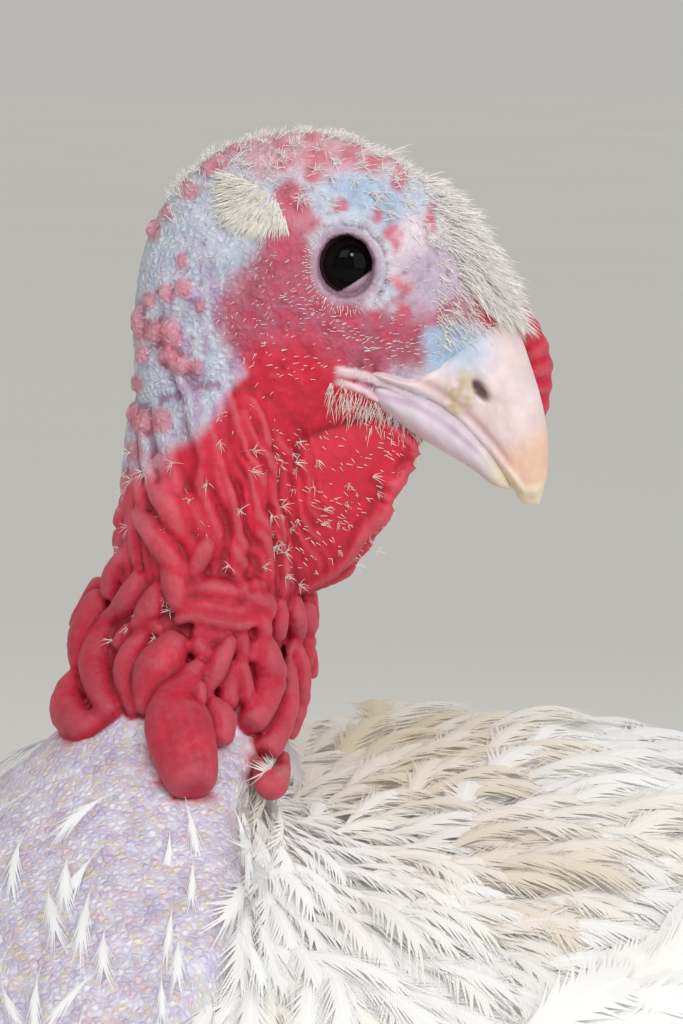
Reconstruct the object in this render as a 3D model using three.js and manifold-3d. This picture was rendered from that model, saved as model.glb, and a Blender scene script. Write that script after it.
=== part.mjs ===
// A white domestic turkey, an adult tom, life size: standing, neck drawn in, head turned back over its left side.
// Millimetres, +Z up, breast towards -Y, the bird's left towards +X, origin on the floor under the middle.
// The trunk, wings and tail are the outer form of the plumage; the head and neck are bare skin.
import * as THREE from "three";
import { mergeVertices } from "three/addons/utils/BufferGeometryUtils.js";
import Module from "manifold-3d";

const wasm = await Module();
wasm.setup();

// Driving dimensions.
const EYE_HEIGHT = 690; // floor to the line through both eyes
const HEAD_TURN = THREE.MathUtils.degToRad(135); // from the breast's direction round to the bird's left
const NECK_TOP_Y = -60; // where the top of the neck's axis stands
const EYE_AHEAD = 33; // the eyes are this far ahead of the neck's axis
const GAP = 0.4; // clearance between neighbouring solids
const HEAD_CUT = EYE_HEIGHT - 47; // level of the cut between head and neck
const NECK_CUT = EYE_HEIGHT - 84; // between the upper and the lower neck
const TRUNK_CUT = { along: -50, level: 561, tilt: Math.atan(0.27) }; // between neck and trunk, higher at the back
const HALF_TURN = Math.PI;
const SIDES = { left: 1, right: -1 };
const REACH = 1400; // longer than the bird, for the blocks that part it

// ---------------------------------------------------------------- shape helpers

// A closed skin: a sphere's rings laid out by place(t, angle), where t runs 0 to 1 from pole to pole.
function ringSkin(sides, rings, place) {
  const geometry = new THREE.SphereGeometry(1, sides, rings);
  const position = geometry.getAttribute("position");
  for (let ring = 0; ring <= rings; ring++)
    for (let side = 0; side <= sides; side++) {
      const angle = (2 * HALF_TURN * (side % sides)) / sides;
      const point = place(ring / rings, angle);
      position.setXYZ(ring * (sides + 1) + side, point.x, point.y, point.z);
    }
  geometry.deleteAttribute("normal");
  geometry.deleteAttribute("uv");
  return facingOut(mergeVertices(geometry, 1e-4));
}

// The same geometry with its faces turned round if they point inwards.
function facingOut(geometry) {
  const corners = geometry.index.array;
  const at = (i) => new THREE.Vector3().fromBufferAttribute(geometry.attributes.position, corners[i]);
  let volume = 0;
  for (let i = 0; i < corners.length; i += 3) volume += at(i).dot(at(i + 1).cross(at(i + 2)));
  if (volume < 0)
    for (let i = 0; i < corners.length; i += 3)
      [corners[i + 1], corners[i + 2]] = [corners[i + 2], corners[i + 1]];
  return geometry;
}

function solidOf(geometry) {
  return new wasm.Manifold(
    new wasm.Mesh({
      numProp: 3,
      vertProperties: geometry.attributes.position.array,
      triVerts: new Uint32Array(geometry.index.array),
    }),
  );
}

function geometryOf(solid) {
  const made = solid.getMesh();
  return new THREE.BufferGeometry()
    .setAttribute("position", new THREE.BufferAttribute(made.vertProperties, 3))
    .setIndex(new THREE.BufferAttribute(made.triVerts, 1));
}

// The largest of a solid's separate pieces, for where a cut leaves crumbs.
const largest = (solid) => solid.decompose().reduce((a, b) => (b.volume() > a.volume() ? b : a));

function boxSolid(size, centre) {
  const geometry = new THREE.BoxGeometry(...size).translate(...centre);
  geometry.deleteAttribute("normal");
  geometry.deleteAttribute("uv");
  return solidOf(mergeVertices(geometry));
}

// Sections of a body in its middle plane, front to back: each row has its upper and lower end, as along and up, and
// its half width. The first and last rows are the closed ends.
class Sections {
  constructor(rows) {
    this.upper = new THREE.SplineCurve(rows.map((r) => new THREE.Vector2(r[0], r[1])));
    this.lower = new THREE.SplineCurve(rows.map((r) => new THREE.Vector2(r[2], r[3])));
    this.width = new THREE.SplineCurve(rows.map((r, i) => new THREE.Vector2(i, r[4])));
  }
  // {across, along, up} of the skin at station t and angle from the upper end, moved outwards by lift.
  at(t, angle, lift) {
    const upper = this.upper.getPoint(t);
    const lower = this.lower.getPoint(t);
    const half = upper.clone().sub(lower).multiplyScalar(0.5);
    const height = half.length();
    const width = Math.max(0, this.width.getPoint(t).y);
    const atPole = t === 0 || t === 1;
    const grown = atPole || height === 0 ? 1 : 1 + lift / height;
    const centre = upper.clone().add(lower).multiplyScalar(0.5);
    const middle = centre.addScaledVector(half, grown * Math.cos(angle));
    return { across: atPole ? 0 : (width + lift) * Math.sin(angle), along: middle.x, up: middle.y };
  }
}

// Sections as a closed skin in the bird's frame, where along is Y, or in the head's frame, where along is X.
function sectionSkin(sections, sides, rings, { lift = 0, inHead = false } = {}) {
  return ringSkin(sides, rings, (t, angle) => {
    const p = sections.at(t, angle, lift);
    return inHead
      ? new THREE.Vector3(p.along, p.across, p.up)
      : new THREE.Vector3(p.across, p.along, p.up);
  });
}

// A round limb along a smooth curve through points [x, y, z], with one radius for each point. flatten narrows it
// along Z. Its ends are domes.
function limb(points, radii, { sides = 10, rings = 12, lift = 0, flatten = 1 } = {}) {
  const path = new THREE.CatmullRomCurve3(points.map((p) => new THREE.Vector3(...p)));
  const size = new THREE.SplineCurve(radii.map((r, i) => new THREE.Vector2(i, r)));
  const reference = new THREE.Vector3(0.13, 0.21, 1).normalize();
  return ringSkin(sides, rings, (t, angle) => {
    const along = (1 - Math.cos(HALF_TURN * t)) / 2; // closer rings at the domes
    const dome = t === 0 || t === 1 ? 0 : Math.pow(Math.sin(HALF_TURN * t), 0.45);
    const radius = (size.getPoint(along).y + lift) * dome;
    const tangent = path.getTangent(along);
    const aside = tangent.clone().cross(reference).normalize();
    const upright = aside.clone().cross(tangent);
    return path
      .getPoint(along)
      .addScaledVector(aside, radius * Math.cos(angle))
      .addScaledVector(upright, radius * flatten * Math.sin(angle));
  });
}

// ---------------------------------------------------------------- neck and trunk

// Upper end (y, z), lower end (y, z), half width. The neck comes first: its back is the upper end and its throat
// the lower one, and the sections fan out round the breast to the rump.
const BODY = new Sections([
  [-60, 672, -60, 672, 0],
  [-40, 655, -82, 655, 22],
  [-38, 625, -86, 622, 23],
  [-43, 598, -91, 596, 24],
  [-52, 575, -101, 574, 25],
  [-53, 556, -125, 553, 38],
  [-38, 542, -164, 526, 68],
  [-12, 540, -202, 488, 102],
  [22, 545, -226, 436, 132],
  [60, 550, -230, 376, 154],
  [102, 547, -204, 316, 168],
  [146, 531, -142, 272, 172],
  [188, 508, -54, 250, 164],
  [228, 483, 46, 254, 142],
  [264, 456, 136, 280, 110],
  [294, 430, 206, 314, 76],
  [318, 402, 262, 346, 42],
  [322, 372, 322, 372, 0],
]);
const bodySkin = (lift) => solidOf(sectionSkin(BODY, 22, 36, { lift }));

// ---------------------------------------------------------------- head, in its own frame

// The head's frame: origin midway between the eyes, X towards the bill, Y to the head's left, Z up.
const headPose = new THREE.Matrix4()
  .makeTranslation(0, NECK_TOP_Y, EYE_HEIGHT)
  .multiply(new THREE.Matrix4().makeRotationZ(HEAD_TURN - HALF_TURN / 2))
  .multiply(new THREE.Matrix4().makeTranslation(EYE_AHEAD, 0, 0));
const intoHead = (solid) => solid.transform(headPose.clone().invert().toArray());

const SKULL = new Sections([
  [-56.5, -20, -56.5, -20, 0],
  [-54, 1, -55, -42, 13],
  [-47, 16, -50, -54, 18.5],
  [-36, 27, -42, -60, 21],
  [-22, 32.5, -28, -60, 21.5],
  [-8, 33.5, -12, -53, 20.5],
  [5, 30, 2, -46, 19.2],
  [17, 23.5, 12, -44, 16.5],
  [27, 15, 19, -44, 13],
  [35, 5, 25, -42, 9.6],
  [41, -6, 31, -38, 7],
  [44, -16, 37, -32, 4.5],
  [43, -24, 43, -24, 0],
]);
const UPPER_BILL = new Sections([
  [-2, -29, -2, -29, 0],
  [8, -27.4, 8, -31.4, 15.6],
  [18, -28.6, 17, -35.4, 13.2],
  [28, -21, 24, -39.4, 10.8],
  [37, -13.2, 29.5, -43.6, 9.8],
  [45, -17, 34, -48, 9.4],
  [50, -29, 39.5, -54, 7.8],
  [53.6, -42, 44.5, -60.5, 5.6],
  [54.8, -55, 47.8, -65.6, 3.2],
  [52.4, -66, 52.4, -66, 0],
]);
const LOWER_BILL = new Sections([
  [0, -31, 0, -31, 0],
  [8, -29, 9, -40, 14.2],
  [18, -31.5, 18, -47, 11.8],
  [27, -37.5, 26, -52, 9.2],
  [35.5, -45.5, 33.5, -56.6, 6.8],
  [42, -54, 40, -61.4, 4],
  [45.6, -62.6, 45.6, -62.6, 0],
]);
const EYE = { across: 12.4, radius: 9.5 };
const NOSTRIL = { x: 36, z: -34.5, reach: 8.6 };
const EAR = { x: -29, z: 9, across: 20.5 };

const skullSkin = (lift) => solidOf(sectionSkin(SKULL, 14, 17, { lift, inHead: true }));
const upperBillSkin = (lift) => solidOf(sectionSkin(UPPER_BILL, 10, 11, { lift, inHead: true }));
const lowerBillSkin = (lift) => solidOf(sectionSkin(LOWER_BILL, 8, 8, { lift, inHead: true }));

function ballSolid(radius, centre, { stretch = [1, 1, 1], sides = 10, rings = 8 } = {}) {
  return solidOf(
    ringSkin(sides, rings, (t, angle) => {
      const ring = radius * Math.sin(HALF_TURN * t);
      const out = [ring * Math.cos(angle), radius * Math.cos(HALF_TURN * t), ring * Math.sin(angle)];
      return new THREE.Vector3(...out.map((v, i) => v * stretch[i] + centre[i]));
    }),
  );
}

const eyeSolid = (side, lift) => ballSolid(EYE.radius + lift, [0, side * EYE.across, 0]);

// The snood: a short fleshy finger from the forehead that hangs down the left of the bill.
const snoodSkin = (lift) =>
  solidOf(
    limb(
      [
        [38, 1, -11],
        [46, 6, -18],
        [50.6, 10, -29],
        [51.3, 12, -41],
        [50, 12.6, -50.5],
      ],
      [3.5, 4.8, 5.8, 5.4, 3.6],
      { sides: 7, rings: 9, lift },
    ),
  );

// The dewlap: a double fold of skin from the chin to the neck, with a scalloped free edge.
const DEWLAP = { thickness: 5, scallops: 7, depth: 1.1 };
function dewlapSolid() {
  const edge = new THREE.SplineCurve(
    [
      [24, -47],
      [18.5, -54],
      [15, -62.5],
      [11, -71],
      [5.5, -79],
      [-3, -86.5],
      [-14, -91],
      [-26, -88],
    ].map(([x, z]) => new THREE.Vector2(x, z)),
  );
  const steps = DEWLAP.scallops * 4;
  const outline = new THREE.Shape([new THREE.Vector2(-26, -36), new THREE.Vector2(8, -40)]);
  for (let i = 0; i <= steps; i++) {
    const t = i / steps;
    const wave = DEWLAP.depth * Math.abs(Math.sin(HALF_TURN * DEWLAP.scallops * t));
    const tangent = edge.getTangent(t);
    const point = edge.getPoint(t);
    outline.lineTo(point.x - tangent.y * wave, point.y + tangent.x * wave);
  }
  const geometry = new THREE.ExtrudeGeometry(outline, {
    depth: DEWLAP.thickness - 2,
    bevelEnabled: true,
    bevelThickness: 1,
    bevelSize: 0.8,
    bevelSegments: 1,
  });
  geometry.rotateX(HALF_TURN / 2).translate(0, DEWLAP.thickness / 2 - 1, 0);
  geometry.deleteAttribute("normal");
  geometry.deleteAttribute("uv");
  return solidOf(mergeVertices(geometry, 1e-4));
}

// ---------------------------------------------------------------- caruncles

// Fleshy lobes that hang round the lower neck. turn is the angle round the neck from the head's right side towards
// the bill; the rest is the level of the lobe's top below the eyes, its length and its greatest radius.
const LOBES = [
  { turn: -74, top: 99, length: 24, radius: 8.5 },
  { turn: -46, top: 92, length: 26, radius: 7.5 },
  { turn: -22, top: 97, length: 24, radius: 7.5 },
  { turn: 6, top: 100, length: 40, radius: 11.5 },
  { turn: 32, top: 98, length: 30, radius: 7.5 },
  { turn: 54, top: 96, length: 36, radius: 8 },
  { turn: 76, top: 96, length: 51, radius: 7 },
  { turn: 104, top: 96, length: 24, radius: 7 },
  { turn: 134, top: 97, length: 30, radius: 8 },
  { turn: 164, top: 96, length: 24, radius: 6.5 },
  { turn: 222, top: 97, length: 24, radius: 7 },
];
const NECK_AXIS = new THREE.SplineCurve(
  [
    [-61, 650],
    [-62, 625],
    [-67, 598],
    [-76, 572],
    [-88, 553],
    [-100, 535],
  ].map(([y, z]) => new THREE.Vector2(z, y)),
);
const COLLAR = { below: 95, radius: 5, reach: 24 };

// The point that far from the neck's axis, at a level below the eyes and an angle round the neck.
function roundNeck(turn, below, reach) {
  const [top, bottom] = [650, 535];
  const level = EYE_HEIGHT - below;
  const axis = NECK_AXIS.getPoint(THREE.MathUtils.clamp((top - level) / (top - bottom), 0, 1));
  const angle = THREE.MathUtils.degToRad(turn) + HEAD_TURN - HALF_TURN;
  return [reach * Math.cos(angle), axis.y + reach * Math.sin(angle), level];
}

function lobeSolid({ turn, top, length, radius }) {
  const spread = (share) => 22 + radius * 0.5 + 12 * Math.max(0, (top + length * share - 118) / 40);
  const points = [0, 0.35, 0.7, 1].map((share) => roundNeck(turn, top + length * share, spread(share)));
  return solidOf(limb(points, [radius * 0.6, radius * 0.85, radius, radius], { sides: 6, rings: 5 }));
}

function collarSolid() {
  const count = 14;
  const sides = 5;
  const ring = new THREE.TorusGeometry(COLLAR.reach, COLLAR.radius, sides, count);
  ring.deleteAttribute("normal");
  ring.deleteAttribute("uv");
  const [x, y, z] = roundNeck(0, COLLAR.below, 0);
  return solidOf(mergeVertices(ring.translate(x, y, z), 1e-4));
}

// ---------------------------------------------------------------- wings, tail and beard

// A folded wing lies on the flank: from the shoulder to past the rump, mapped on the body's own sections.
const WING = { from: 0.46, to: 0.975, shoulder: 80, tip: 84, halfAngle: 41, thickness: 22 };
function wingSkin(side, lift) {
  const rad = THREE.MathUtils.degToRad;
  const geometry = ringSkin(8, 11, (s, angle) => {
    const t = THREE.MathUtils.lerp(WING.from, WING.to, s);
    const taper = 1 - 0.72 * THREE.MathUtils.smoothstep(s, 0.3, 1);
    const spread = s === 0 || s === 1 ? 0 : taper * Math.pow(Math.min(1, s / 0.22, (1 - s) / 0.05), 0.5);
    const centre = rad(THREE.MathUtils.lerp(WING.shoulder, WING.tip, s));
    const bulge = Math.pow(Math.max(0, Math.sin(angle)), 0.7) * Math.pow(spread, 0.7);
    const inside = spread > 0 && Math.sin(angle) < 0 ? -3 : 0;
    const turned = centre + rad(WING.halfAngle + lift * 2) * spread * Math.cos(angle);
    const p = BODY.at(t, turned, inside + (WING.thickness + lift) * bulge);
    return new THREE.Vector3(side * p.across, p.along, p.up);
  });
  return solidOf(geometry);
}
const wingSolid = (side) => largest(wingSkin(side, 0).subtract(bodySkin(GAP)));

// The tail, a folded fan of quills: nearly flat, widening towards its rounded tip.
const TAIL = { root: [262, 402], tip: [640, 262], rootHalf: 46, tipHalf: 96, rootThick: 44, tipThick: 4 };
function tailSolid() {
  const raw = ringSkin(14, 10, (t, angle) => {
    const spread = THREE.MathUtils.lerp(TAIL.rootHalf, TAIL.tipHalf, Math.sin((HALF_TURN / 2) * t));
    const root = Math.min(1, t * 12);
    const end = t === 1 ? 0 : Math.pow(Math.cos((HALF_TURN / 2) * t), 0.28);
    const across = spread * root * end * Math.cos(angle);
    const thick = THREE.MathUtils.lerp(TAIL.rootThick, TAIL.tipThick, Math.sqrt(t)) * root * (t === 1 ? 0 : 1);
    const roof = -0.0016 * across * across; // the outer quills lie lower than the middle ones
    const y = THREE.MathUtils.lerp(TAIL.root[0], TAIL.tip[0], t);
    const z = THREE.MathUtils.lerp(TAIL.root[1], TAIL.tip[1], t);
    return new THREE.Vector3(across, y, z + roof + thick * 0.5 * Math.sin(angle));
  });
  const around = [bodySkin(GAP), wingSkin(1, GAP), wingSkin(-1, GAP)];
  return largest(around.reduce((left, other) => left.subtract(other), solidOf(raw)));
}

// The beard: coarse black bristles that hang from the breast.
const BEARD = [
  [0, -216, 436],
  [0, -236, 424],
  [0, -244, 396],
  [0, -246, 358],
  [1, -243, 326],
];
const beardSolid = () =>
  largest(solidOf(limb(BEARD, [5, 7, 8, 7, 4], { sides: 7, rings: 7 })).subtract(bodySkin(GAP)));

// ---------------------------------------------------------------- legs

const HOCK = { x: 78, y: 64, z: 172 };
const ANKLE = { x: 82, y: 30, z: 20 };
const TOES = {
  inner: { heading: -34, length: 66, radius: 8.4 },
  middle: { heading: 2, length: 92, radius: 9.4 },
  outer: { heading: 38, length: 68, radius: 8.4 },
  hind: { heading: 172, length: 36, radius: 6.6 },
};
const TOE_TAPER = [1, 0.94, 0.86, 0.8];
const TOE_SINK = 0.72; // the toe's axis is this share of its radius above the floor, so its sole is a narrow flat
const CLAW_LENGTH = 17;

const thighSkin = (side, lift) =>
  solidOf(
    limb(
      [
        [side * 96, 0, 330],
        [side * 94, 14, 282],
        [side * 88, 36, 232],
        [side * HOCK.x, HOCK.y - 4, HOCK.z + 8],
      ],
      [54, 64, 44, 20],
      { sides: 10, rings: 8, lift },
    ),
  );

const shankSkin = (side, lift) =>
  solidOf(
    limb(
      [
        [side * (HOCK.x + 1), HOCK.y - 14, HOCK.z + 24],
        [side * HOCK.x, HOCK.y, HOCK.z],
        [side * ((HOCK.x + ANKLE.x) / 2), HOCK.y - 14, (HOCK.z + ANKLE.z) / 2],
        [side * ANKLE.x, ANKLE.y, ANKLE.z],
      ],
      [10, 15, 10.6, 12.5],
      { sides: 8, rings: 10, lift },
    ),
  );

// A point that far along a toe: headings are degrees outwards from straight ahead.
function alongToe(side, toe, distance, level) {
  const heading = THREE.MathUtils.degToRad(toe.heading);
  return [
    side * (ANKLE.x + distance * Math.sin(heading)),
    ANKLE.y - distance * Math.cos(heading),
    level,
  ];
}

const toeSkin = (side, toe, lift) =>
  solidOf(
    limb(
      [0, 0.4, 0.75, 1].map((s, i) => alongToe(side, toe, toe.length * s, toe.radius * TOE_TAPER[i] * TOE_SINK)),
      TOE_TAPER.map((taper) => toe.radius * taper),
      { sides: 6, rings: 5, flatten: 0.92, lift },
    ),
  );

function footSolid(side) {
  const pad = solidOf(
    limb(
      [
        [side * ANKLE.x, ANKLE.y + 6, 12],
        [side * ANKLE.x, ANKLE.y - 14, 9],
      ],
      [12.5, 13],
      { sides: 8, rings: 5, flatten: 0.85 },
    ),
  );
  const above = boxSolid([400, 400, 60], [side * ANKLE.x, ANKLE.y - 20, 30]);
  return Object.values(TOES)
    .reduce((all, toe) => all.add(toeSkin(side, toe, 0)), pad)
    .intersect(above)
    .subtract(shankSkin(side, GAP));
}

function clawSolid(side, toe) {
  const start = toe.length - 2;
  const level = toe.radius * 0.8;
  const claw = limb(
    [
      alongToe(side, toe, start, level),
      alongToe(side, toe, start + CLAW_LENGTH * 0.5, level),
      alongToe(side, toe, start + CLAW_LENGTH, 2.2),
    ],
    [4.2, 3.4, 1.2],
    { sides: 5, rings: 5 },
  );
  return largest(solidOf(claw).subtract(toeSkin(side, toe, GAP)));
}

function spurSolid(side) {
  const root = [side * (ANKLE.x - 5), 48, 82];
  const cone = limb(
    [root, [root[0] - side * 4, root[1] + 12, root[2] + 1], [root[0] - side * 6, root[1] + 22, root[2] + 5]],
    [5, 4, 1],
    { sides: 5, rings: 5 },
  );
  return largest(solidOf(cone).subtract(shankSkin(side, GAP)));
}

// ---------------------------------------------------------------- materials

const finish = (color, roughness) => new THREE.MeshStandardMaterial({ color, roughness, metalness: 0 });
const MATERIALS = {
  plumage: finish(0xf1eee4, 0.9),
  redSkin: finish(0xc4283a, 0.6),
  paleSkin: finish(0xb9a9c4, 0.7),
  headSkin: finish(0xb8909c, 0.7),
  horn: finish(0xe6c9bb, 0.4),
  shankSkin: finish(0xe2c4b8, 0.6),
  eye: finish(0x120c0a, 0.08),
  bristle: finish(0x1b1716, 0.6),
};

// ---------------------------------------------------------------- assembly

const bird = new THREE.Group();
const head = new THREE.Group();
head.applyMatrix4(headPose);
bird.add(head);

function addTo(group, name, solid, material) {
  const mesh = new THREE.Mesh(geometryOf(solid), material);
  mesh.name = name;
  group.add(mesh);
  return mesh;
}

// Everything between two levels, in the bird's frame.
function between(solid, low, high) {
  return solid.intersect(boxSolid([REACH, REACH, high - low], [0, 0, (low + high) / 2]));
}

// All the space above (side 1) or below (side -1) the tilted cut between neck and trunk.
function besideTrunkCut(side) {
  const { along, level, tilt } = TRUNK_CUT;
  const pose = new THREE.Matrix4().makeTranslation(0, along, level).multiply(new THREE.Matrix4().makeRotationX(tilt));
  return boxSolid([REACH, REACH, REACH], [0, 0, (side * (REACH + GAP)) / 2]).transform(pose.toArray());
}

function buildFlesh() {
  const skull = skullSkin(0).transform(headPose.toArray());
  const whole = skull.add(bodySkin(0));
  const top = EYE_HEIGHT + 60;
  const sockets = eyeSolid(1, GAP).add(eyeSolid(-1, GAP));
  const earHoles = [1, -1].map((side) => ballSolid(3, [EAR.x, side * EAR.across, EAR.z], { sides: 6, rings: 4 }));
  const headSolid = [sockets, ...earHoles, upperBillSkin(GAP), lowerBillSkin(GAP)].reduce(
    (left, cut) => left.subtract(cut),
    intoHead(between(whole, HEAD_CUT + GAP / 2, top)),
  );
  addTo(head, "head", largest(headSolid), MATERIALS.headSkin);
  const upperNeck = between(whole, NECK_CUT + GAP / 2, HEAD_CUT - GAP / 2);
  addTo(bird, "neck_upper", largest(upperNeck), MATERIALS.redSkin);
  const lowerNeck = between(whole, 0, NECK_CUT - GAP / 2).intersect(besideTrunkCut(1));
  addTo(bird, "neck_lower", largest(lowerNeck), MATERIALS.paleSkin);
  const trunk = whole.intersect(besideTrunkCut(-1));
  addTo(bird, "trunk", largest(trunk), MATERIALS.plumage);
}

function buildHeadParts() {
  const slot = { stretch: [0.9, 1.2, 1.6], sides: 6, rings: 4 };
  const nostrils = [1, -1].map((side) => ballSolid(2.4, [NOSTRIL.x, side * NOSTRIL.reach, NOSTRIL.z], slot));
  const upperBill = [...nostrils, lowerBillSkin(GAP)].reduce((left, cut) => left.subtract(cut), upperBillSkin(0));
  addTo(head, "bill_upper", largest(upperBill), MATERIALS.horn);
  addTo(head, "bill_lower", lowerBillSkin(0), MATERIALS.horn);
  const snood = snoodSkin(0).subtract(upperBillSkin(GAP)).subtract(skullSkin(GAP));
  addTo(head, "snood", largest(snood), MATERIALS.redSkin);
  for (const [name, side] of Object.entries(SIDES))
    addTo(head, `eye_${name}`, eyeSolid(side, 0), MATERIALS.eye);
  const nearby = intoHead(bodySkin(GAP)).add(skullSkin(GAP)).add(lowerBillSkin(GAP)).add(upperBillSkin(GAP));
  const collar = intoHead(collarSolid());
  addTo(head, "dewlap", largest(dewlapSolid().subtract(nearby).subtract(collar)), MATERIALS.redSkin);
}

function buildCaruncles() {
  const lobes = LOBES.map(lobeSolid).reduce((all, lobe) => all.add(lobe), collarSolid());
  const skull = skullSkin(GAP).transform(headPose.toArray());
  const dewlap = solidOf(
    head.getObjectByName("dewlap").geometry.clone().applyMatrix4(headPose),
  );
  addTo(
    bird,
    "caruncles",
    largest(lobes.subtract(bodySkin(GAP)).subtract(skull).subtract(dewlap)),
    MATERIALS.redSkin,
  );
}

function buildWingsTailAndBeard() {
  for (const [name, side] of Object.entries(SIDES))
    addTo(bird, `wing_${name}`, wingSolid(side), MATERIALS.plumage);
  addTo(bird, "tail", tailSolid(), MATERIALS.plumage);
  addTo(bird, "beard", beardSolid(), MATERIALS.bristle);
}

function buildLegs() {
  for (const [name, side] of Object.entries(SIDES)) {
    const thigh = thighSkin(side, 0).subtract(bodySkin(GAP)).subtract(shankSkin(side, GAP));
    addTo(bird, `thigh_${name}`, largest(thigh), MATERIALS.plumage);
    addTo(bird, `shank_${name}`, shankSkin(side, 0), MATERIALS.shankSkin);
    addTo(bird, `foot_${name}`, largest(footSolid(side)), MATERIALS.shankSkin);
    for (const [toeName, toe] of Object.entries(TOES))
      addTo(bird, `claw_${name}_${toeName}`, clawSolid(side, toe), MATERIALS.horn);
    addTo(bird, `spur_${name}`, spurSolid(side), MATERIALS.horn);
  }
}

buildFlesh();
buildHeadParts();
buildCaruncles();
buildWingsTailAndBeard();
buildLegs();

// The origin goes to the floor under the middle of the whole bird.
bird.updateMatrixWorld(true);
const bounds = new THREE.Box3().setFromObject(bird, true);
bird.position.set(-(bounds.min.x + bounds.max.x) / 2, -(bounds.min.y + bounds.max.y) / 2, -bounds.min.z);

export default bird;
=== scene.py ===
# %% [markdown]
# A white domestic turkey, an adult tom, life size. The head and neck are bare: blue-white and red skin,
# soft folds, round caruncles, a dewlap and a snood. Everything else is under white feathers. The packed
# part gives every place and size, so it is loaded first.
# %% Load the imported part
import math
import bpy
import numpy as np
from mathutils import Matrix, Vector, noise
from mathutils.bvhtree import BVHTree
from mathutils.kdtree import KDTree


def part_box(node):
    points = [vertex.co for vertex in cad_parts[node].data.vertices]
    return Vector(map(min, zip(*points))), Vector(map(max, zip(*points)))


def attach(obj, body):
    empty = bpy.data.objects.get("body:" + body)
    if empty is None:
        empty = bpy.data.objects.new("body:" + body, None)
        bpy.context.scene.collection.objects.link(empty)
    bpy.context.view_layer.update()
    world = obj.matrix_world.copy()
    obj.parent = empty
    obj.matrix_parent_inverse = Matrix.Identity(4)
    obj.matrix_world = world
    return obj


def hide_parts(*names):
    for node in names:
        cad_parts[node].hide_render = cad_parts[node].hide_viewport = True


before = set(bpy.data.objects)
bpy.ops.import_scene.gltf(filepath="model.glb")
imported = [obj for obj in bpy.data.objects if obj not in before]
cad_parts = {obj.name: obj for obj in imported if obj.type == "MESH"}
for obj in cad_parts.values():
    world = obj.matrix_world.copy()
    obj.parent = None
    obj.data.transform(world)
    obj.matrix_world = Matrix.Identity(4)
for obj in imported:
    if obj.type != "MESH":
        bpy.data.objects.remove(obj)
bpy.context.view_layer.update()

# %% [markdown]
# Two frames make the bird easy to describe. The bird's frame has the breast towards -Y and its left towards
# +X. The head's frame starts midway between the eyes, with X towards the bill, Y to the head's left and Z
# up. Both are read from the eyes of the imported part. All shapes are worked out in millimetres and turned
# into metres once, at the end.
# %% The two frames
MM = 0.001
EYES_AHEAD_OF_NECK = 33.0
EYE_LEVEL = 690.0  # height of the eyes over the floor, in millimetres
NECK_TOP = np.array([0.0, -60.0, EYE_LEVEL])


def middle(node):
    low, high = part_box(node)
    return (np.array(low) + np.array(high)) / 2


def unit(v):
    v = np.asarray(v, float)
    return v / np.maximum(np.linalg.norm(v, axis=-1, keepdims=True), 1e-9)


eye_line = middle("eye_left") - middle("eye_right")
HEAD_LEFT = unit([eye_line[0], eye_line[1], 0.0])
UP = np.array([0.0, 0.0, 1.0])
HEAD_AHEAD = np.cross(HEAD_LEFT, UP)
HEAD_ORIGIN = NECK_TOP + EYES_AHEAD_OF_NECK * HEAD_AHEAD
BIRD_ORIGIN = (middle("eye_left") + middle("eye_right")) / 2 / MM - HEAD_ORIGIN
BIRD_ORIGIN[2] = 0.0


def from_head(p):
    """Points of the head's frame, in the bird's frame."""
    p = np.asarray(p, float)
    return HEAD_ORIGIN + p[..., 0:1] * HEAD_AHEAD + p[..., 1:2] * HEAD_LEFT + p[..., 2:3] * UP


def to_head(p):
    """Points of the bird's frame, in the head's frame."""
    q = np.asarray(p, float) - HEAD_ORIGIN
    return np.stack([q @ HEAD_AHEAD, q @ HEAD_LEFT, q @ UP], axis=-1)


def to_metres(p):
    return (np.asarray(p, float) + BIRD_ORIGIN) * MM


print("bird origin, mm:", BIRD_ORIGIN.round(2), "head looks along", HEAD_AHEAD.round(3))

# %% [markdown]
# The camera stands level with the bird's shoulder, a little under a metre from the head, and looks slightly
# down on it. Only the head, the neck and part of the back fall inside the picture, as in a portrait.
# %% Camera
CAMERA_TURN, CAMERA_RISE, CAMERA_REACH = math.radians(45), math.radians(8), 0.95
back = Vector((math.sin(CAMERA_TURN) * math.cos(CAMERA_RISE), -math.cos(CAMERA_TURN) * math.cos(CAMERA_RISE),
               math.sin(CAMERA_RISE)))
camera_data = bpy.data.cameras.new("camera")
camera = bpy.data.objects.new("camera", camera_data)
bpy.context.scene.collection.objects.link(camera)
look = back.to_track_quat("Z", "Y")
aim = Vector(middle("eye_right")) + look @ Vector((-0.0009, -0.0658, 0.0))
camera.location = aim + back * CAMERA_REACH
camera.rotation_euler = look.to_euler()
PICTURE_HEIGHT = 0.2695
camera_data.sensor_fit = "VERTICAL"
camera_data.sensor_height = 36.0
camera_data.lens = 36.0 / (2 * math.tan(math.atan(PICTURE_HEIGHT / 2 / CAMERA_REACH)))
camera_data.clip_start, camera_data.clip_end = 0.01, 30.0
bpy.context.scene.camera = camera
print("lens, mm:", round(camera_data.lens, 1))

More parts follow.
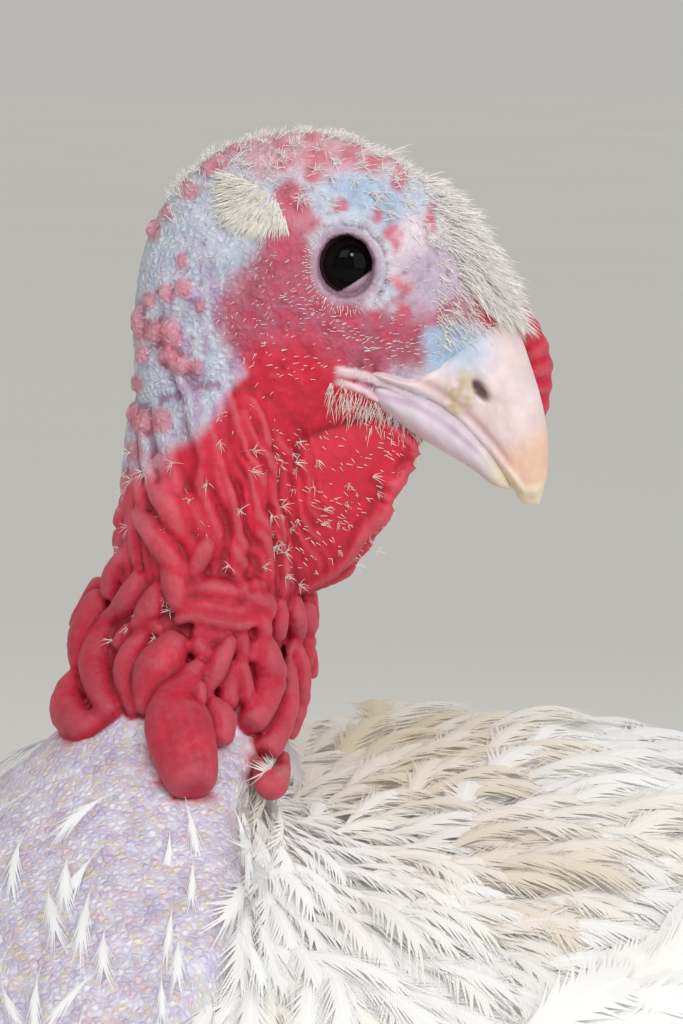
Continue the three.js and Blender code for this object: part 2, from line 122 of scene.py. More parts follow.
# %% [markdown]
# A body is easiest to describe by sections in its middle plane. Each row holds the upper end of a section,
# its lower end and its half width. A smooth curve through the rows then gives the skin at any station t and
# at any angle round it, and a lift moves it in or out. The same rows lay the feathers later, so coat and
# skin always agree.
# %% Smooth curves and sections
def spline(points, t):
    """A smooth curve through rows of points, with t from 0 to 1."""
    points = np.asarray(points, float)
    if points.ndim == 1:
        points = points[:, None]
    place = np.clip(np.asarray(t, float), 0, 1) * (len(points) - 1)
    i = np.minimum(place.astype(int), len(points) - 2)
    w = (place - i)[..., None]
    before, here, there, after = (points[np.clip(i + k, 0, len(points) - 1)] for k in (-1, 0, 1, 2))
    leave, arrive = (there - before) / 2, (after - here) / 2
    return (2 * here - 2 * there + leave + arrive) * w**3 + (3 * there - 3 * here - 2 * leave
                                                             - arrive) * w**2 \
        + leave * w + here


def section(rows, t, angle, lift=0.0):
    """Across, along and up of the skin at station t and angle from the upper end."""
    rows = np.asarray(rows, float)
    t, angle, lift = np.broadcast_arrays(np.asarray(t, float), np.asarray(angle, float),
                                         np.asarray(lift, float))
    upper, lower = spline(rows[:, 0:2], t), spline(rows[:, 2:4], t)
    width = np.maximum(spline(rows[:, 4], t)[..., 0], 0)
    half = (upper - lower) / 2
    height = np.linalg.norm(half, axis=-1)
    tall = np.maximum(height + lift, 0.15 * height) / np.maximum(height, 1e-6)
    wide = np.where(width > 1e-6, np.maximum(width + lift, 0.15 * width), 0.0)
    centre = (upper + lower) / 2 + half * (tall * np.cos(angle))[..., None]
    return np.stack([wide * np.sin(angle), centre[..., 0], centre[..., 1]], axis=-1)


def smooth_step(x, low, high):
    x = np.clip((x - low) / (high - low), 0, 1)
    return x * x * (3 - 2 * x)


BODY = [
    [-60, 672, -60, 672, 0], [-40, 655, -82, 655, 22], [-38, 625, -86, 622, 23], [-43, 598, -91, 596, 24],
    [-52, 575, -101, 574, 25], [-53, 556, -125, 553, 38], [-38, 542, -164, 526, 68],
    [-12, 540, -202, 488, 102],
    [22, 545, -226, 436, 132], [60, 550, -230, 376, 154], [102, 547, -204, 316, 168],
    [146, 531, -142, 272, 172],
    [188, 508, -54, 250, 164], [228, 483, 46, 254, 142], [264, 456, 136, 280, 110], [294, 430, 206, 314, 76],
    [318, 402, 262, 346, 42], [322, 372, 322, 372, 0],
]
SKULL = [
    [-56.5, -20, -56.5, -20, 0], [-54, 1, -55, -42, 13], [-47, 16, -50, -54, 18.5], [-36, 27, -42, -60, 21],
    [-22, 32.5, -28, -60, 21.5], [-8, 33.5, -12, -53, 20.5], [5, 30, 2, -46, 19.2], [17, 23.5, 12, -44, 16.5],
    [27, 15, 19, -44, 13], [35, 5, 25, -42, 9.6], [41, -6, 31, -38, 7], [44, -16, 37, -32, 4.5],
    [43, -24, 43, -24, 0],
]
ROWS = len(BODY) - 1


def body_at(t, angle, lift=0.0):
    return section(BODY, t, angle, lift)


def head_at(rows, t, angle, lift=0.0):
    p = section(rows, t, angle, lift)
    return p[..., [1, 0, 2]]


print("skull length, mm:", SKULL[-1][0] - SKULL[0][0], " body length, mm:", BODY[-1][0] - BODY[9][2])

# %% [markdown]
# Three small makers cover every closed form: a shell of rings between two poles, a soft tube along a curve,
# and a ball. Each returns points and triangles, so that many can be joined before anything becomes a
# Blender mesh.
# %% Shells, tubes and balls
def ring_shell(place, sides, rings):
    t, angle = np.meshgrid(np.linspace(0, 1, rings + 1)[1:-1],
                           np.linspace(0, 2 * math.pi, sides, endpoint=False),
                           indexing="ij")
    poles = place(np.array([0.0, 1.0]), np.zeros(2))
    points = np.vstack([place(t, angle).reshape(-1, 3), poles])
    first, last = len(points) - 2, len(points) - 1
    here = np.arange(sides)
    there = (here + 1) % sides
    faces = []
    for ring in range(rings - 2):
        a, b = ring * sides, (ring + 1) * sides
        faces += [np.stack([a + here, b + here, b + there], 1), np.stack([a + here, b + there, a + there], 1)]
    end = (rings - 2) * sides
    faces += [np.stack([np.full(sides, first), here, there], 1),
              np.stack([end + here, np.full(sides, last), end + there], 1)]
    return points, facing_out(points, np.vstack(faces))


def facing_out(points, faces):
    a, b, c = (points[faces[:, k]] - points.mean(0) for k in range(3))
    return faces if (a * np.cross(b, c)).sum() > 0 else faces[:, ::-1]


BLUNT = 0.45  # the lower, the blunter the two ends of a tube


def tube(points, radii, sides=14, rings=18, flatten=1.0):
    points, radii = np.asarray(points, float), np.asarray(radii, float)

    def place(t, angle):
        along = (1 - np.cos(math.pi * t)) / 2
        dome = np.power(np.clip(np.sin(math.pi * t), 0, 1), BLUNT)
        radius = spline(radii, along)[..., 0] * dome
        tangent = unit(spline(points, np.minimum(along + 0.01, 1)) - spline(points,
                np.maximum(along - 0.01, 0)))
        aside = unit(np.cross(tangent, [0.13, 0.21, 1.0]))
        upright = np.cross(aside, tangent)
        return spline(points, along) + aside * (radius * np.cos(angle))[..., None] \
            + upright * (radius * flatten * np.sin(angle))[..., None]

    return ring_shell(place, sides, rings)


def ball(centre, radius, stretch=(1, 1, 1), sides=12, rings=8):
    def place(t, angle):
        ring = np.sin(math.pi * t)
        out = np.stack([ring * np.cos(angle), ring * np.sin(angle), np.cos(math.pi * t)], -1)
        return np.asarray(centre, float) + radius * out * np.asarray(stretch, float)
    return ring_shell(place, sides, rings)


def joined(shells):
    counts = np.cumsum([0] + [len(points) for points, _ in shells])
    return np.vstack([p for p, _ in shells]), np.vstack([f + k for (_, f), k in zip(shells, counts)])


def mesh_piece(name, points, faces):
    """A mesh object from points in metres and rows of corner numbers."""
    mesh = bpy.data.meshes.new(name)
    faces = np.asarray(faces)
    sides = faces.shape[1]
    mesh.vertices.add(len(points))
    mesh.vertices.foreach_set("co", np.asarray(points, np.float32).ravel())
    mesh.loops.add(faces.size)
    mesh.loops.foreach_set("vertex_index", faces.astype(np.int32).ravel())
    mesh.polygons.add(len(faces))
    mesh.polygons.foreach_set("loop_start", (np.arange(len(faces)) * sides).astype(np.int32))
    mesh.polygons.foreach_set("use_smooth", np.full(len(faces), True))
    mesh.update(calc_edges=True)
    obj = bpy.data.objects.new(name, mesh)
    bpy.context.scene.collection.objects.link(obj)
    return obj


def corners_of(mesh):
    co = np.empty(len(mesh.vertices) * 3, np.float32)
    mesh.vertices.foreach_get("co", co)
    return co.reshape(-1, 3).astype(float)


def move_corners(mesh, points):
    mesh.vertices.foreach_set("co", np.asarray(points, np.float32).ravel())
    mesh.update()


def ripple(points, size, seed=0.0):
    """A smooth random value from about -1 to 1 at each point, with lumps of that size."""
    shifted = np.asarray(points, float) / size + seed
    return np.array([noise.noise(p) for p in shifted.tolist()])


print("a small ball has", len(ball((0, 0, 0), 1)[1]), "triangles")

# %% [markdown]
# The bare skin is soft and swollen. It is built the way a sculptor adds clay: a skull and a neck first,
# then cords, beads and lobes laid on their surface. To lay them on, a ray is cast at the clay from the side
# and stops where it meets the skin. The first clay is only the skull, the neck and the dewlap.
# %% Skull, neck and dewlap
NECK_END = 4.75 / ROWS  # station where the separate neck ends, inside the trunk
NECK_LINE = np.array([[650, -61], [625, -62], [598, -67], [572, -76], [553, -88], [535, -100]], float)[::-1]


def neck_axis(level):
    """How far back the middle of the neck is at a level over the floor."""
    return np.interp(level, NECK_LINE[:, 0], NECK_LINE[:, 1])


DEWLAP = [
    [18, -40, 24, -46, 0], [0, -38, 20.5, -50, 8.5], [-16, -42, 17.6, -57, 13], [-27, -52, 14.2, -65, 15.5],
    [-31, -62, 9.6, -74, 15.5], [-33, -72, 3.5, -82, 14.5], [-34, -80, -5, -88.5, 12.5],
    [-34, -86, -15, -91, 10],
    [-33, -90, -22, -92, 0],
]


def dewlap_place(t, angle):
    """The dewlap is thick where it leaves the throat and thins to a soft edge."""
    p = head_at(DEWLAP, t, angle)
    outer = (1 - np.cos(angle)) / 2
    return from_head(p * np.stack([np.ones_like(outer), 1 - 0.62 * outer**1.3, np.ones_like(outer)], -1))


def neck_place(t, angle):
    station = t * NECK_END
    fade = -1.6 * smooth_step(station * ROWS, 4.1, 4.6)
    closing = np.where(t >= 1, 0.0, 1.0)[..., None]
    p = body_at(station, angle, fade)
    centre = (body_at(station, np.zeros_like(angle)) + body_at(station, np.full_like(angle, math.pi))) / 2
    return centre + (p - centre) * closing


skull_shell = ring_shell(lambda t, a: from_head(head_at(SKULL, t, a)), 56, 64)
neck_shell = ring_shell(neck_place, 72, 70)
dewlap_shell = ring_shell(dewlap_place, 40, 48)
clay = joined([skull_shell, neck_shell, dewlap_shell])
clay_tree = BVHTree.FromPolygons(clay[0].tolist(), clay[1].tolist())


def on_side(x, z, side=-1):
    """The skin's point and outward direction at x and z of the head, on the left (1) or right (-1)."""
    start = from_head([x, side * 90.0, z])
    hit, out, _, _ = clay_tree.ray_cast(Vector(start), Vector(-side * HEAD_LEFT))
    if hit is None:
        return None
    out = np.array(out)
    return np.array(hit), out * np.sign(out @ (side * HEAD_LEFT))


def on_neck(turn, below):
    """The same, cast at the neck's axis at a level below the eyes and a turn round it in degrees."""
    level = EYE_LEVEL - below
    angle = math.radians(turn - 45.0)
    out = np.array([math.cos(angle), math.sin(angle), 0.0])
    axis = np.array([0.0, neck_axis(level), level])
    hit = clay_tree.ray_cast(Vector(axis + out * 120), Vector(-out))[0]
    return (np.array(hit), out) if hit is not None else (axis + 24 * out, out)


print("first clay:", len(clay[1]), "triangles")

# %% [markdown]
# Cords of skin run down the neck from the nape towards the dewlap, each a tube half sunk in the skin. A
# seeded generator gives every cord its own waviness, so the folds look grown and yet come out the same at
# each run.
# %% Cords of the neck
grow = np.random.default_rng(11)


def cord_between(turn, top, bottom, drift, thick):
    share = np.linspace(0, 1, 9)
    wave = grow.normal(0, 1.6, 9) + 2.5 * np.sin(share * 7 + grow.uniform(0, 6))
    points = []
    for s, w in zip(share, wave):
        at, out = on_neck(turn + drift * s**0.8 + w, top + (bottom - top) * s)
        points.append(at + out * thick * 0.02)
    swell = thick * (0.75 + 0.35 * np.sin(math.pi * share)) * (1 + 0.16 * grow.normal(0, 1, 9))
    return tube(points, np.clip(swell, thick * 0.5, thick * 1.4), sides=10, rings=26)


cords = []
for turn in np.arange(-150, 60, 10.5):
    behind = smooth_step(-turn, 10, 110)
    top = 33 + 17 * behind + grow.uniform(-5, 5)
    cords.append(cord_between(turn - 26, top, 90 + grow.uniform(-4, 3), 38 + grow.uniform(-7, 7),
                              1.9 + 0.9 * behind))
for turn in np.arange(86, 206, 12.0):
    cords.append(cord_between(turn, 44 + grow.uniform(-6, 4), 90, grow.uniform(-14, 14), 2.2))
print("neck cords:", len(cords))

# %% [markdown]
# Caruncles are fleshy lobes that hang packed together from the lower neck. Those of the right side are
# placed one by one, because their sizes differ so much: each is a row of places and radii, and a number
# that says how far it lies over its neighbours. The far side repeats the same kind with a loop. A hem of
# loose skin closes the cords above them.
# %% Caruncle lobes
body_shell = ring_shell(lambda t, a: body_at(t, a, -0.5), 72, 120)
body_clay = joined([skull_shell, neck_shell, dewlap_shell, body_shell])
body_tree = BVHTree.FromPolygons(body_clay[0].tolist(), body_clay[1].tolist())


LOOKING_FROM = np.array(camera.location) / MM - BIRD_ORIGIN


def seat(x, z, over):
    """The place that far over the skin which the camera sees behind x and z of the head's middle plane."""
    axis = to_head(np.array([0.0, neck_axis(EYE_LEVEL + z), EYE_LEVEL + z]))
    for step in np.linspace(0, 1, 25):
        reached = x + (axis[0] - x) * step
        aimed = unit(from_head([reached, 0.0, z]) - LOOKING_FROM)
        hit = body_tree.ray_cast(Vector(LOOKING_FROM), Vector(aimed))[0]
        if hit is not None and to_head(np.array(hit))[1] < 14:
            break
    far = np.linalg.norm(np.array(hit) - LOOKING_FROM) - over + 0.8 * abs(x - reached)
    return LOOKING_FROM + unit(from_head([x, 0.0, z]) - LOOKING_FROM) * far


def lobe(rows, over, sides=18, rings=24):
    """A soft lobe through rows of place and radius, rounded past both ends."""
    rows = np.array(rows, float)
    first, last = rows[0] - rows[1], rows[-1] - rows[-2]
    rows[0, :2] += first[:2] / np.hypot(*first[:2]) * rows[0, 2] * 0.6
    rows[-1, :2] += last[:2] / np.hypot(*last[:2]) * rows[-1, 2] * 1.35
    return tube([seat(x, z, over + 0.25 * radius) for x, z, radius in rows], rows[:, 2] * 1.1, sides=sides,
                rings=rings)


LOBES = [
    ([(-70.6, -111.7, 2.6), (-73.5, -116.1, 4.4), (-74.7, -122.6, 5.0), (-71.4, -126.7, 4.2),
      (-66.5, -124.9, 2.8), (-63.2, -122.6, 2.1)], 0),
    ([(-61.5, -94.4, 2.4), (-64.1, -99.7, 3.6), (-66.5, -106.1, 4.6), (-66.5, -113.2, 5.0),
      (-64.9, -118.8, 3.9)], 1),
    ([(-54.4, -102.0, 2.6), (-57.6, -107.3, 3.6), (-58.8, -113.8, 3.6), (-57.3, -119.1, 3.3)], 0),
    ([(-45.6, -103.2, 3.5), (-48.5, -107.9, 5.4), (-51.5, -113.8, 5.8), (-52.9, -119.1, 3.5)], 1.5),
    ([(-39.7, -110.2, 2.4), (-42.7, -114.9, 4.1), (-45.6, -120.8, 6.2), (-45.0, -127.9, 8.8),
      (-43.7, -133.2, 8.9)], 4),
    ([(-36.8, -120.8, 2.4), (-33.8, -124.4, 3.6), (-33.6, -127.9, 3.2)], 3),
    ([(-39.0, -115.5, 1.5), (-39.3, -119.1, 1.6), (-39.7, -122.0, 1.4)], 8),
    ([(-30.9, -103.2, 2.1), (-33.3, -107.9, 2.6), (-35.6, -113.2, 2.5), (-37.5, -116.1, 2.0)], 3.5),
    ([(-29.1, -109.1, 2.1), (-31.2, -113.8, 2.9), (-31.5, -118.5, 2.8)], 0.5),
    ([(-20.9, -104.4, 2.6), (-20.9, -109.1, 4.2), (-21.0, -114.9, 4.8), (-23.3, -121.1, 4.8)], 3),
    ([(-28.0, -110.2, 2.0), (-27.1, -113.8, 1.9), (-26.5, -117.9, 2.4)], 2.5),
    ([(-15.0, -109.1, 2.0), (-15.0, -116.1, 2.5), (-16.5, -122.6, 3.6), (-18.9, -128.2, 5.1)], 1.5),
    ([(-12.7, -105.5, 2.0), (-11.8, -110.2, 2.2), (-11.2, -116.1, 2.0), (-12.1, -122.0, 2.1),
      (-13.9, -127.9, 2.0)], 0),
    ([(-16.5, -134.9, 1.9), (-17.4, -139.6, 2.6), (-19.7, -143.4, 3.6), (-22.4, -142.0, 2.7),
      (-23.0, -137.9, 1.6)], 1),
    ([(-18.0, -93.2, 2.4), (-17.9, -97.9, 2.5), (-18.0, -100.3, 2.2)], 1),
    ([(-13.6, -92.6, 2.4), (-12.7, -97.3, 2.5), (-13.0, -102.0, 2.1), (-14.5, -105.5, 1.5)], 0.5),
    ([(-23.9, -95.0, 2.1), (-22.4, -98.5, 2.4), (-22.1, -102.6, 2.0)], 1.5),
    ([(-25.6, -92.0, 2.6), (-21.5, -93.2, 2.7), (-21.2, -95.6, 1.8)], 2),
    ([(-59.1, -80.6, 2.8), (-62.0, -85.6, 3.3), (-62.6, -88.5, 2.8)], 1),
    ([(-55.6, -86.2, 2.9), (-57.1, -90.9, 3.9), (-60.9, -95.0, 2.9), (-62.9, -97.3, 2.4)], 0.5),
    ([(-49.7, -89.1, 2.6), (-52.1, -93.8, 3.5), (-54.4, -97.3, 2.7)], 0.5),
    ([(-55.6, -69.1, 2.4), (-52.1, -72.6, 3.4), (-47.9, -79.1, 3.4), (-45.0, -84.1, 2.8)], 1.5),
    ([(-50.9, -62.7, 2.7), (-47.4, -66.2, 3.6), (-45.0, -70.9, 3.4), (-43.7, -73.8, 2.1)], 1),
    ([(-42.7, -64.4, 2.1), (-39.7, -70.3, 2.5), (-38.0, -73.8, 2.0)], 0),
    ([(-47.4, -82.6, 2.4), (-45.6, -87.9, 3.6), (-45.0, -91.4, 2.9)], 1.5),
    ([(-36.8, -76.2, 2.1), (-38.5, -79.7, 2.6), (-40.6, -83.8, 2.1)], 1),
    ([(-57.1, -66.2, 2.6), (-58.8, -68.2, 2.6), (-60.0, -70.0, 2.0)], 0.5),
    ([(-42.7, -73.8, 2.0), (-40.9, -77.3, 2.4), (-41.5, -82.0, 2.0), (-42.7, -86.2, 1.8)], 0),
    ([(-57.6, -100.0, 2.0), (-59.7, -102.6, 2.4)], 0),
    ([(-39.7, -100.8, 2.6), (-35.3, -101.7, 2.6)], 1),
    ([(-39.7, -103.8, 2.4), (-38.0, -106.7, 2.7), (-36.5, -109.1, 2.0)], 1),
    ([(-28.6, -102.0, 2.5), (-28.0, -106.7, 2.2)], 0.5),
    ([(-23.6, -103.8, 1.8), (-25.0, -106.4, 2.0)], 1),
    ([(-55.0, -98.5, 2.4), (-51.5, -99.7, 2.0)], 0),
    ([(-69.1, -97.9, 2.4), (-70.2, -101.1, 2.2)], -9),
    ([(-60.6, -74.1, 1.9), (-60.9, -76.2, 1.8)], -8),
    ([(-10.0, -106.1, 2.4), (-9.8, -110.5, 2.6)], -9),
    ([(-10.6, -92.0, 2.0), (-10.9, -93.8, 1.8)], -8),
]
HEM = [
    ([(-45.0, -97.9, 1.8), (-41.5, -96.6, 1.8), (-36.8, -97.9, 1.8), (-32.1, -98.8, 1.8), (-27.4, -98.8, 1.8),
      (-24.1, -97.6, 1.8)], 2.5),
    ([(-44.4, -95.0, 2.6), (-39.1, -94.1, 2.6), (-33.3, -95.0, 2.6), (-27.4, -95.0, 2.6),
      (-22.7, -92.6, 2.6)], 1.2),
    ([(-42.7, -90.3, 2.9), (-36.8, -89.1, 2.9), (-29.7, -90.3, 2.9), (-25.6, -89.1, 2.9)], 0.2),
]
lobes = [lobe(rows, over) for rows, over in LOBES]
hem = joined([lobe(rows, over, 14, 40) for rows, over in HEM])


def far_lobe(turn):
    top, length, thick = 88 + grow.uniform(-4, 8), grow.uniform(20, 34), grow.uniform(5.0, 8.0)
    points = []
    for s in np.linspace(0, 1, 4):
        level = top + length * s
        angle = math.radians(turn + grow.uniform(-5, 5) - 45.0)
        stand = 25 + thick * 0.5 + 9 * smooth_step(level, 112, 140)
        axis_y = neck_axis(EYE_LEVEL - level)
        points.append([stand * math.cos(angle), axis_y + stand * math.sin(angle), EYE_LEVEL - level])
    return tube(points, [thick * 0.6, thick * 0.85, thick, thick * 0.8], sides=14, rings=18)


lobes += [far_lobe(turn) for turn in np.arange(100, 276, 14.5)]
print("lobes:", len(lobes))

# %% [markdown]
# Small round beads and swellings stand on the crown, the nape and round the eye. Each row holds a place
# beside the head, a radius and how far the bead is stretched upwards. They stand on both sides of the head.
# %% Beads of the head
NAPE_BEADS = [
    (-8, 33.5, 2.3, 1), (-17, 31, 1.9, 0.8), (-29, 29.5, 2.0, 0.9), (-33, 26.5, 2.4, 1), (-36, 24.5, 2.2, 1),
    (-41, 19, 2.6, 1), (-47.5, 12.5, 2.1, 1), (-51, 8, 2.2, 1.1), (-54.5, -16, 2.7, 1.6),
    (-51.5, -10, 1.7, 1),
    (-49.8, -18, 2.9, 1.1), (-45.8, -18.5, 3.1, 1.3), (-43.5, -26.5, 3.0, 1), (-46.5, -24, 2.8, 1),
    (-39, -27, 2.0, 1.2),
    (-53.5, -24.5, 2.0, 1.3), (-47, -8, 1.9, 1.2), (-43, 0.5, 1.3, 1.6), (-42.6, -6.5, 1.9, 1.3),
    (-38, -10.8, 1.5, 1),
    (-56.5, -41, 2.6, 1), (-53.2, -42.5, 3.6, 0.9), (-48.5, -41, 2.6, 1.2), (-55.5, -50, 2.6, 1.1),
    (-48.5, -52, 2.6, 0.9),
    (-56.5, -59, 3.0, 1.1), (-50.5, -58.5, 3.0, 1), (-46.0, -58, 3.4, 1.1), (-58, -67, 3.2, 1.2),
    (-60, -76, 3.0, 1.1),
    (-53, -68, 3.0, 1.3), (-55.5, -33, 2.0, 1.2),
]
RED_SPOTS = [
    (-14, 17, 3.4, 1.2), (-16, 26.6, 2.4, 0.9), (-8.5, 23, 2.2, 0.9), (-7, 27.4, 3.0, 0.8),
    (-1.4, 15.3, 2.0, 0.8),
    (7.8, 11.4, 1.6, 0.9), (12.4, 8.6, 1.7, 1.1), (14.2, 5.0, 1.7, 1.2), (14.5, -5.8, 2.6, 1.05),
    (14.8, -12, 2.0, 1.2),
    (9, 26.5, 2.8, 0.7), (14.8, 21.6, 2.0, 1.3), (22.6, 11.8, 1.7, 2.0), (2, 28.5, 2.6, 0.7),
]
beads = []
for x, z, radius, tall in NAPE_BEADS + [(x, z, r * 0.8, tall) for x, z, r, tall in RED_SPOTS]:
    for side in (-1, 1):
        found = on_side(x, z, side)
        if found is None:
            found = on_side(x * 0.97, z - 1.5, side) or on_side(x * 0.93, z - 3.0, side)
        if found is None:
            continue
        at, out = found
        sunk = 0.2 if (x, z, radius, tall) in NAPE_BEADS else 0.6
        beads.append(ball(at - out * radius * sunk, radius, (1, 1, tall), sides=14, rings=10))
print("beads:", len(beads))

# %% [markdown]
# The eye opening is an oval edged by two rolls of lid. The rolls are closed rings of tube round the
# opening; the skin inside the opening is pressed in later, so that the eyeball looks out of it. Pale lips
# edge the corner of the mouth behind the bill.
# %% Eyelids and lips
EYE_RADIUS = 9.5
OPENING = (7.0, 7.8)  # half width and half height of the opening


def ring_tube(centre_x, centre_z, half_wide, half_tall, thick, depth, side, tilt=0.0):
    turn = np.linspace(0, 2 * math.pi, 40, endpoint=False)
    around = np.linspace(0, 2 * math.pi, 10, endpoint=False)
    a, b = np.meshgrid(turn, around, indexing="ij")
    wide, tall = half_wide + thick * np.cos(b), half_tall + thick * np.cos(b)
    x0, z0 = wide * np.cos(a), tall * np.sin(a)
    x, z = x0 * math.cos(tilt) - z0 * math.sin(tilt), x0 * math.sin(tilt) + z0 * math.cos(tilt)
    bowl = 0.35 * (x0 / half_wide) ** 2 * 1.6
    y = side * (depth - bowl + thick * 0.8 * np.sin(b))
    points = from_head(np.stack([centre_x + x, y, centre_z + z], -1)).reshape(-1, 3)
    i, j = np.meshgrid(np.arange(40), np.arange(10), indexing="ij")
    quad = [(i * 10 + j), ((i + 1) % 40 * 10 + j), ((i + 1) % 40 * 10 + (j + 1) % 10),
            (i * 10 + (j + 1) % 10)]
    faces = np.vstack([np.stack([quad[k].ravel() for k in (0, 1, 2)], 1),
                       np.stack([quad[k].ravel() for k in (0, 2, 3)], 1)])
    return points, faces if side > 0 else faces[:, ::-1]


lids = []
for side in (-1, 1):
    lids.append(ring_tube(0.3, -0.6, 8.0, 9.0, 0.95, 19.5, side, tilt=-0.12 * side))
    lids.append(ring_tube(0.5, -0.9, 9.6, 10.8, 0.6, 19.2, side, tilt=-0.12 * side))
lips = []
for side in (-1, 1):
    for way in ([(-2, -28.4), (3, -29.2), (8, -30.8), (13, -33.4), (18, -36.4)],
                [(-1, -31.4), (4, -33.4), (9, -36.4), (13, -39.4)]):
        seats = [on_side(x, z, side) for x, z in way]
        lips.append(tube([at + out * 0.2 for at, out in seats], np.interp(np.linspace(0, 1, 4), [0, 0.5, 1],
                [0.9, 1.5, 1.1]),
                         sides=12, rings=24))
print("lid rings and lips:", len(lids), len(lips))

# %% [markdown]
# The snood is a ridged finger of red skin that starts on the forehead and hangs beside the bill. Its rings
# are made by letting the radius of one tube rise and fall along its length.
# %% Snood
snood_way = [(37, 1, -10), (45, 5, -16), (50, 9.5, -26), (51, 12, -38), (50, 12.6, -49)]
snood_sizes = np.interp(np.linspace(0, 1, 41), [0, 0.3, 0.6, 0.9, 1], [3.6, 5.0, 5.6, 4.6, 3.4])
snood_sizes = snood_sizes * (1 + 0.07 * np.sin(np.linspace(0, 1, 41) * 2 * math.pi * 9))
snood_points = spline(np.array(snood_way, float), np.linspace(0, 1, 41))
snood = tube(from_head(snood_points), snood_sizes, sides=20, rings=90)
print("snood length, mm:", round(float(np.linalg.norm(np.diff(snood_points, axis=0), axis=1).sum()), 1))

# %% [markdown]
# All the clay is then melted into one skin. A voxel remesh is the right tool, because it keeps only the
# outermost surface of everything that overlaps, and a little smoothing turns the small steps into soft
# creases.
# %% Head and neck as one skin
def remeshed(name, shell, voxel, rounds):
    rough = mesh_piece(name, *shell)
    cells = rough.modifiers.new("cells", "REMESH")
    cells.mode, cells.voxel_size = "VOXEL", voxel
    soften = rough.modifiers.new("soften", "SMOOTH")
    soften.factor, soften.iterations = 0.5, rounds
    made = bpy.data.meshes.new_from_object(rough.evaluated_get(bpy.context.evaluated_depsgraph_get()))
    bpy.data.objects.remove(rough)
    return made


def outward(mesh):
    normals = np.empty(len(mesh.vertices) * 3, np.float32)
    mesh.vertex_normals.foreach_get("vector", normals)
    return normals.reshape(-1, 3).astype(float)


head_clay = joined([skull_shell, neck_shell, dewlap_shell, snood, hem] + cords + lobes + beads + lids + lips)
head_mesh = remeshed("head_clay", head_clay, 0.75, 2)
p = corners_of(head_mesh)
h = to_head(p)
inside = np.hypot((h[:, 0] - 0.2) / OPENING[0], (h[:, 2] + 0.3) / OPENING[1])
press = (1 - smooth_step(inside, 0.9, 1.04)) * (np.abs(h[:, 1]) > 8) * (np.abs(h[:, 1]) < 24)
h[:, 1] -= np.sign(h[:, 1]) * press * np.maximum(np.abs(h[:, 1]) - 13.0, 0)
edge = smooth_step(h[:, 0], -6, 14) * (1 - smooth_step(h[:, 2], -52, -46)) * (np.abs(h[:, 1]) < 9)
p = from_head(h)
normals = outward(head_mesh)
p += HEAD_AHEAD * (edge * 1.5 * ripple(p, 5.5, 3.0))[:, None]
rough = 0.45 + 0.9 * smooth_step(h[:, 2], -46, -30) * (1 - smooth_step(h[:, 0], 34, 40))
p += normals * (rough * (0.30 * ripple(p, 3.2, 9.0) + 0.26 * ripple(p, 1.7, 5.0)))[:, None] * (1 - press)[:,
        None]
wrinkled = smooth_step(h[:, 0], -33, -27) * (1 - smooth_step(h[:, 0] + 0.2 * h[:, 2], -24, -15)) \
    * smooth_step(-h[:, 2], 40, 48) * (1 - smooth_step(-h[:, 2], 80, 88)) * (0.75 + 0.6 * ripple(p, 9.0,
            16.0))
wave = np.sin(2 * math.pi * (h[:, 0] + 0.33 * h[:, 2] + 4.0 * ripple(p, 17.0, 6.0) + 1.2 * ripple(p, 5.0,
        8.0)) / 3.3)
p += normals * (0.5 * wave * wrinkled)[:, None]
move_corners(head_mesh, p)
print("head and neck:", len(head_mesh.polygons), "faces")

# %% [markdown]
# The skin of the trunk lies under the feathers, so it is drawn in by the depth of the coat. Only a bib at
# the base of the neck stays bare: it is widest at the neck and narrows to a point on the breast. The folded
# wings and the thighs are part of the same skin.
# %% Trunk, wings and thighs as one skin
COAT = 15.0
BIB_ROWS, BIB_REACH = [4.2, 4.6, 5.0, 6.0, 7.0, 8.0], [200.0, 120.0, 92.0, 80.0, 54.0, 0.0]
WING = {"from": 0.46, "to": 0.975, "shoulder": 80.0, "tip": 84.0, "half": 41.0, "thick": 22.0}
HOCK = np.array([78.0, 64.0, 172.0])


def bare(t, angle):
    """1 where the skin is bare, 0 where feathers cover it."""
    row = np.asarray(t) * ROWS
    off = np.abs((np.degrees(angle) - 180 + 180) % 360 - 180)
    mask = 1 - smooth_step(off - np.interp(row, BIB_ROWS, BIB_REACH), -7, 9)
    return np.where(row < 4.2, 1.0, mask * (1 - smooth_step(row, 7.4, 8.2)))


def trunk_place(t, angle):
    row = t * ROWS
    thin = np.minimum(1.0, (ROWS - row) / 2.2)
    drawn_in = COAT * (1 - bare(t, angle)) * smooth_step(row, 4.4, 5.8) * thin
    return body_at(t, angle, -drawn_in - 2.0 * (1 - smooth_step(row, 3.6, 4.8)))


def wing_place(side, lift):
    def place(s, angle):
        t = WING["from"] + (WING["to"] - WING["from"]) * s
        taper = 1 - 0.72 * smooth_step(s, 0.3, 1.0)
        spread = taper * np.sqrt(np.clip(np.minimum(np.minimum(s / 0.22, (1 - s) / 0.05), 1), 0, 1))
        centre = np.radians(WING["shoulder"] + (WING["tip"] - WING["shoulder"]) * s)
        bulge = np.power(np.clip(np.sin(angle), 0, 1), 0.7) * np.power(spread, 0.7)
        turned = centre + math.radians(WING["half"]) * spread * np.cos(angle)
        p = body_at(t, turned, np.where(np.sin(angle) < -1e-6, -22.0, 0.0) * (spread > 0) + lift * bulge)
        return p * np.array([side, 1.0, 1.0])
    return place


def thigh_shell(side, inwards):
    way = [(side * 96, 0, 330), (side * 94, 14, 282), (side * 88, 36, 232),
           (side * HOCK[0], HOCK[1] - 4, HOCK[2] + 8)]
    return tube(way, np.array([54.0, 64.0, 44.0, 20.0]) - inwards, sides=32, rings=30)


